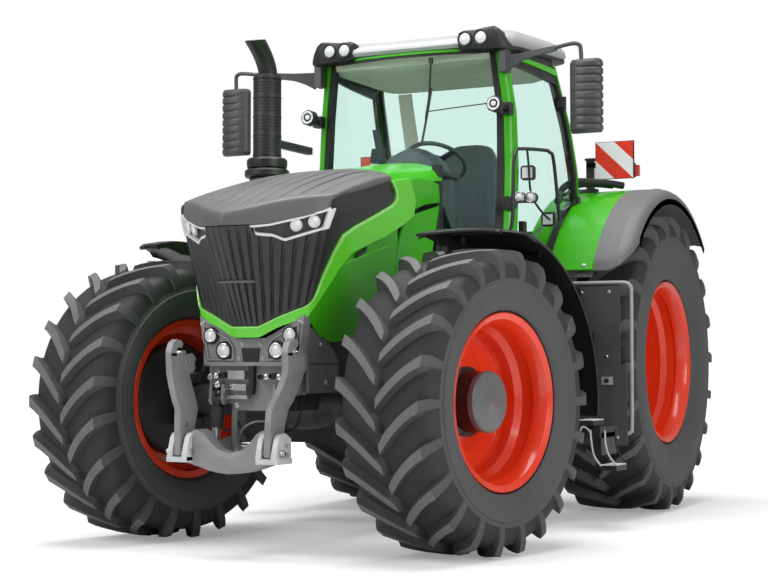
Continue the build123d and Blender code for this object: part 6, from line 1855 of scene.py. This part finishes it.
def build_steps():
    """Four treads with toothed pale tops on curved hangers."""
    low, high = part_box("access_steps")
    treads = ((1.370, 1.485, 0.440), (1.215, 1.325, 0.735), (1.040, 1.250, 1.050), (0.960, 1.150, 1.365))
    depth = 0.22
    teeth = (4, 8)  # across, along
    tooth = ((0, 0.014), (0.004, 0.014), (0.009, 0.008), (0.002, 0.005))
    near = low.y + 0.005
    far = low.y + depth
    inner_hanger = ((1.300, 0.67), (1.305, 0.60), (1.325, 0.50), (1.375, 0.430))
    outer_hanger = ((1.400, 0.67), (1.405, 0.58), (1.430, 0.50), (1.480, 0.440))
    shape = Shape()
    for number, (x0, x1, z) in enumerate(treads):
        x1 = min(x1, high.x)
        shape.box((x0, low.y, z - 0.038), (x1, low.y + depth, z - 0.004))
        for row in range(teeth[0]):
            for column in range(teeth[1]):
                x = x0 + (x1 - x0) * (row + 0.5) / teeth[0]
                y = low.y + depth * (column + 0.5) / teeth[1]
                shape.turned(tooth, (x, y, z - 0.004), upward, 8, 1)
        if number >= 2:
            # the upper treads have side plates
            for y in (low.y, high.y - 0.012):
                shape.box((x0 - 0.07, y, z - 0.05), (x1 - 0.06, y + 0.012, z + 0.28))
    for line, y, mark in (
        (inner_hanger, near, 1),
        (outer_hanger, near, 1),
        (inner_hanger, far, 0),
        (outer_hanger, far, 0),
        (((1.225, 0.66), (1.245, 0.690), (1.275, 0.68), (1.300, 0.655)), near, 1),
        (((1.10, 1.02), (1.11, 0.90), (1.14, 0.80), (1.22, 0.715)), near, 0),
        (((1.22, 1.02), (1.23, 0.90), (1.27, 0.80), (1.32, 0.715)), far, 0),
    ):
        shape.pipe([(x, y, z) for x, z in line], 0.0065, 10, mark)
    shape.box((1.19, low.y + 0.03, 0.615), (1.36, high.y - 0.01, 0.690))
    shape.box((1.30, low.y + 0.05, 0.500), (1.36, high.y - 0.05, 0.650))
    shape.doubled()
    finishes = [black_plastic, tread_pale]
    piece(shape, "step_treads", "chassis", finishes, ["access_steps"], 0.0015, 30)


def build_exhaust():
    """The exhaust: a dark canister, a perforated guard, a slanted open tail pipe."""
    shape = Shape()
    base = front(-0.720, 0.750, 0)
    bottom = 1.960
    can = [(bottom, 0.0), (bottom, 0.112), (bottom + 0.012, 0.120), (2.425, 0.120), (2.440, 0.112)]
    can += [(2.440, 0.134), (2.462, 0.138), (2.492, 0.138), (2.505, 0.126), (2.512, 0.096)]
    can += [(3.060, 0.095), (3.075, 0.090), (3.075, 0.060)]
    shape.turned(can, base, upward, 48)
    # rings round the guard, and the holes between them, drawn as black discs: painted shade inside the holes
    first_ring = 2.520
    ring_pitch = 0.131
    ring = ((0, 0.0945), (0.002, 0.0985), (0.012, 0.0985), (0.014, 0.0945))
    for k in range(5):
        shape.turned([(first_ring + ring_pitch * k + z, r) for z, r in ring], base, upward, 48)
    around = 26  # holes in a row
    for row in range(24):
        z = 2.546 + 0.0215 * row
        if (z - first_ring) % ring_pitch < 0.024:
            continue
        for k in range(around):
            turn = 2 * pi * (k + 0.5 * (row % 2)) / around
            out = Vector((cos(turn), sin(turn), 0))
            across = Vector((-sin(turn), cos(turn), 0))
            hole = [
                base + out * 0.0958 + across * (0.0075 * cos(a)) + Vector((0, 0, z + 0.0075 * sin(a)))
                for a in (0, pi / 3, 2 * pi / 3, pi, 4 * pi / 3, 5 * pi / 3)
            ]
            shape.add(hole, [(0, 1, 2, 3, 4, 5)], 1)
    # the tail pipe: its outer skin, then its inner one back down
    bend = ((0, 3.02), (0.005, 3.10), (-0.035, 3.175), (-0.105, 3.245), (-0.165, 3.290))
    line = smooth_line([base + Vector((0, y, z)) for y, z in bend], 6)
    last = len(line) - 1
    skins = ([], [])
    for k, place in enumerate(line):
        along = (line[min(k + 1, last)] - line[max(k - 1, 0)]).normalized()
        slant = along * (0.055 * max(0, 1 - (last - k) / 5))
        up = to_left.cross(along).normalized()
        for skin, radius in zip(skins, (0.064, 0.056)):
            skin.append(circle(place, to_left, up + slant / radius, radius, 32))
    shape.loft(skins[0] + skins[1][::-1])
    collar = ((2.375, 0.10), (2.375, 0.145), (2.385, 0.152), (2.418, 0.152), (2.428, 0.142), (2.428, 0.10))
    shape.turned(collar, base, upward, 48)
    for z in (2.05, 2.33, 2.60):
        # holders back to the cab
        shape.box(base + Vector((-0.022, 0.085, z)), base + Vector((0.022, 0.60, z + 0.05)))
    finishes = [black_plastic, hole_painted_shade]
    piece(shape, "exhaust_stack", "chassis", finishes, ["exhaust"], 0.0, 32)


def build_boards():
    """The rear warning boards: white with red diagonals, a small red lamp, and their arms."""
    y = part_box("warning_boards")[0].y
    x0, x1 = 0.857, 1.150
    z0, z1 = 2.510, 2.788
    bands = (  # shares of the board's width and of its height, from the top
        (((0, 0), (0, 0.5), (0.5, 1), (1, 1)), 1),
        (((0.5, 0), (1, 0.5), (1, 0)), 1),
        (((0, 0), (1, 1), (1, 0.5), (0.5, 0)), 0),
        (((0, 0.5), (0, 1), (0.5, 1)), 0),
    )
    boxes = (  # the lamp and its holder, then the arm from the fender's inner side
        ((1.158, 0.004, z0 + 0.005), (1.166, 0.03, z0 + 0.11), 2),
        ((1.166, 0.004, z0 + 0.012), (1.192, 0.045, z0 + 0.095), 3),
        ((0.775, 0.012, 2.400), (0.835, 0.040, 2.660), 2),
        ((0.775, 0.012, 2.600), (0.960, 0.036, 2.640), 2),
        ((0.775, -0.02, 2.655), (0.850, 0.040, 2.672), 2),
        ((0.700, 0.000, 2.400), (0.860, 0.060, 2.440), 2),
    )
    thick = [(0.715, -0.46, 2.30), (0.730, -0.38, 2.41), (0.775, -0.24, 2.47), (0.860, -0.10, 2.480)]
    thick += [(0.960, 0.02, 2.475), (1.04, 0.10, 2.463)]
    thin = ((0.735, -0.38, 2.36), (0.785, -0.18, 2.44), (0.880, -0.04, 2.455), (0.97, 0.06, 2.45))
    shape = Shape()
    for hand in (1, -1):

        def at(place):
            return Vector((hand * place[0], y + place[1], place[2]))

        shape.box(at((x0 - 0.004, 0.002, z0 - 0.004)), at((x1 + 0.008, 0.014, z1 + 0.004)), 2)
        for outline, mark in bands:
            places = [at((x0 + (x1 - x0) * u, 0.0005, z1 + (z0 - z1) * v)) for u, v in outline]
            back = [p + to_rear * 0.0015 for p in places]
            count = len(places)
            faces = [tuple(range(count)), tuple(range(2 * count - 1, count - 1, -1))]
            faces += [(k, k + count, (k + 1) % count + count, (k + 1) % count) for k in range(count)]
            shape.add(places + back, faces, mark)
        for low, high, mark in boxes:
            shape.box(at(low), at(high), mark)
        for hose, radius, sides in ((thick, 0.027, 14), (thin, 0.012, 12)):
            shape.pipe([at(p) for p in hose], radius, sides, 4)
    piece(
        shape, "board_faces", "chassis",
        [board_white, board_red, black_plastic, lamp_red, hose_black], ["warning_boards"], 0.001, 30, 1,
    )


build_fender_extensions()
build_guard()
build_steps()
build_exhaust()
build_boards()


# ---- carried-over CAD nodes ---------------------------------------------------------------
slot_finish = {
    "tyre": rubber,
    "rim_paint": rim_red,
    "dark_metal": dark_iron,
    "cast_grey": cast_grey,
    "steel": steel,
    "green_paint": green,
    "dark_plastic": panel_grey,
    "grey_plastic": fender_grey,
    "roof_grey": roof_grey,
    "glass": glass,
    "lamp_clear": lamp_white,
    "lamp_red": lamp_red,
    "board_white": board_white,
    "seat_cloth": seat_black,
}
node_finish = {
    "bonnet_cover": cover_grey,
    "grille": grille_black,
    "front_fender_left": black_plastic,
    "front_fender_right": black_plastic,
    "mirrors": black_plastic,
    "work_lamps": black_plastic,
    "exhaust": black_plastic,
    "dashboard": cabin_dark,
    "console": cabin_dark,
    "steering_wheel": cabin_dark,
}


def finish_nodes():
    """Gives each CAD node that still shows its finish, with softened edges."""
    slots = {sub["node"]: sub.get("material_slot") for sub in frame["record"].get("subparts", []) if "node" in sub}
    for name, node in frame["nodes"].items():
        if node.hide_render:
            continue
        material = node_finish.get(name) or slot_finish.get(slots.get(name), dark_iron)
        node.data.materials.clear()
        node.data.materials.append(material)
        soften(node, 0.003, 30)


finish_nodes()


# ---- floor, light and camera --------------------------------------------------------------
def build_stage():
    """A pale floor that shows white to the camera and keeps the tractor's shadow."""
    mesh = bpy.data.meshes.new("floor")
    reach = 60
    mesh.from_pydata([(-reach, -reach, 0), (reach, -reach, 0), (reach, reach, 0), (-reach, reach, 0)], [], [(0, 1, 2, 3)])
    floor = bpy.data.objects.new("floor", mesh)
    bpy.context.scene.collection.objects.link(floor)
    material = bpy.data.materials.new("floor")
    material.use_nodes = True
    tree = material.node_tree
    shader = tree.nodes["Principled BSDF"]
    shader.inputs["Base Color"].default_value = (0.80, 0.80, 0.80, 1)
    shader.inputs["Roughness"].default_value = 0.9
    glow = tree.nodes.new("ShaderNodeEmission")
    path = tree.nodes.new("ShaderNodeLightPath")
    total = tree.nodes.new("ShaderNodeAddShader")
    share = tree.nodes.new("ShaderNodeMath")
    share.operation = "MULTIPLY"
    place = tree.nodes.new("ShaderNodeNewGeometry")
    away = tree.nodes.new("ShaderNodeVectorMath")
    away.operation = "LENGTH"
    link(tree, place.outputs["Position"], away.inputs[0])
    spread = tree.nodes.new("ShaderNodeMapRange")
    spread.inputs["From Min"].default_value = 3.2
    spread.inputs["From Max"].default_value = 10
    spread.inputs["To Min"].default_value = 0.26
    spread.inputs["To Max"].default_value = 0.85
    link(tree, away.outputs["Value"], spread.inputs["Value"])
    link(tree, path.outputs["Is Camera Ray"], share.inputs[0])
    link(tree, spread.outputs["Result"], share.inputs[1])
    link(tree, share.outputs["Value"], glow.inputs["Strength"])
    link(tree, shader.outputs["BSDF"], total.inputs[0])
    link(tree, glow.outputs["Emission"], total.inputs[1])
    link(tree, total.outputs["Shader"], tree.nodes["Material Output"].inputs["Surface"])
    mesh.materials.append(material)


def build_world():
    """Even white light; rays from the camera and through glass see it as plain white."""
    world = bpy.data.worlds.new("studio")
    bpy.context.scene.world = world
    world.use_nodes = True
    tree = world.node_tree
    backdrop = tree.nodes["Background"]
    path = tree.nodes.new("ShaderNodeLightPath")
    seen = tree.nodes.new("ShaderNodeMath")
    seen.operation = "MAXIMUM"
    link(tree, path.outputs["Is Camera Ray"], seen.inputs[0])
    link(tree, path.outputs["Is Transmission Ray"], seen.inputs[1])
    strength = tree.nodes.new("ShaderNodeMapRange")
    strength.inputs["To Min"].default_value = 0.38
    strength.inputs["To Max"].default_value = 1.0
    link(tree, seen.outputs["Value"], strength.inputs["Value"])
    backdrop.inputs["Color"].default_value = (1, 1, 1, 1)
    link(tree, strength.outputs["Result"], backdrop.inputs["Strength"])


def area_light(name, place, target, size, power):
    """A square soft light aimed at a point."""
    light = bpy.data.lights.new(name, "AREA")
    light.size = size
    light.energy = power
    lamp = bpy.data.objects.new(name, light)
    bpy.context.scene.collection.objects.link(lamp)
    lamp.location = place
    lamp.rotation_euler = (Vector(target) - Vector(place)).to_track_quat("-Z", "Y").to_euler()


def build_camera():
    """The studio camera, at the left of the nose and a little above the front hubs."""
    camera = bpy.data.objects.new("camera", bpy.data.cameras.new("camera"))
    bpy.context.scene.collection.objects.link(camera)
    bpy.context.scene.camera = camera
    camera.location = (4.962, -10.873, 1.111)
    camera.rotation_euler = (radians(92.43), 0, radians(26.49))
    camera.data.sensor_width = 36
    camera.data.lens = 77.0
    camera.data.clip_end = 200


build_stage()
build_world()
area_light("top_light", (0, -1, 9), (0, 0, 0), 7, 900)
area_light("key_light", (-5, -9, 7), (0, -1, 1), 5, 420)
area_light("fill_light", (9, -5, 4), (0, 0, 1.2), 5, 330)
build_camera()
bpy.context.scene.view_settings.view_transform = "Standard"
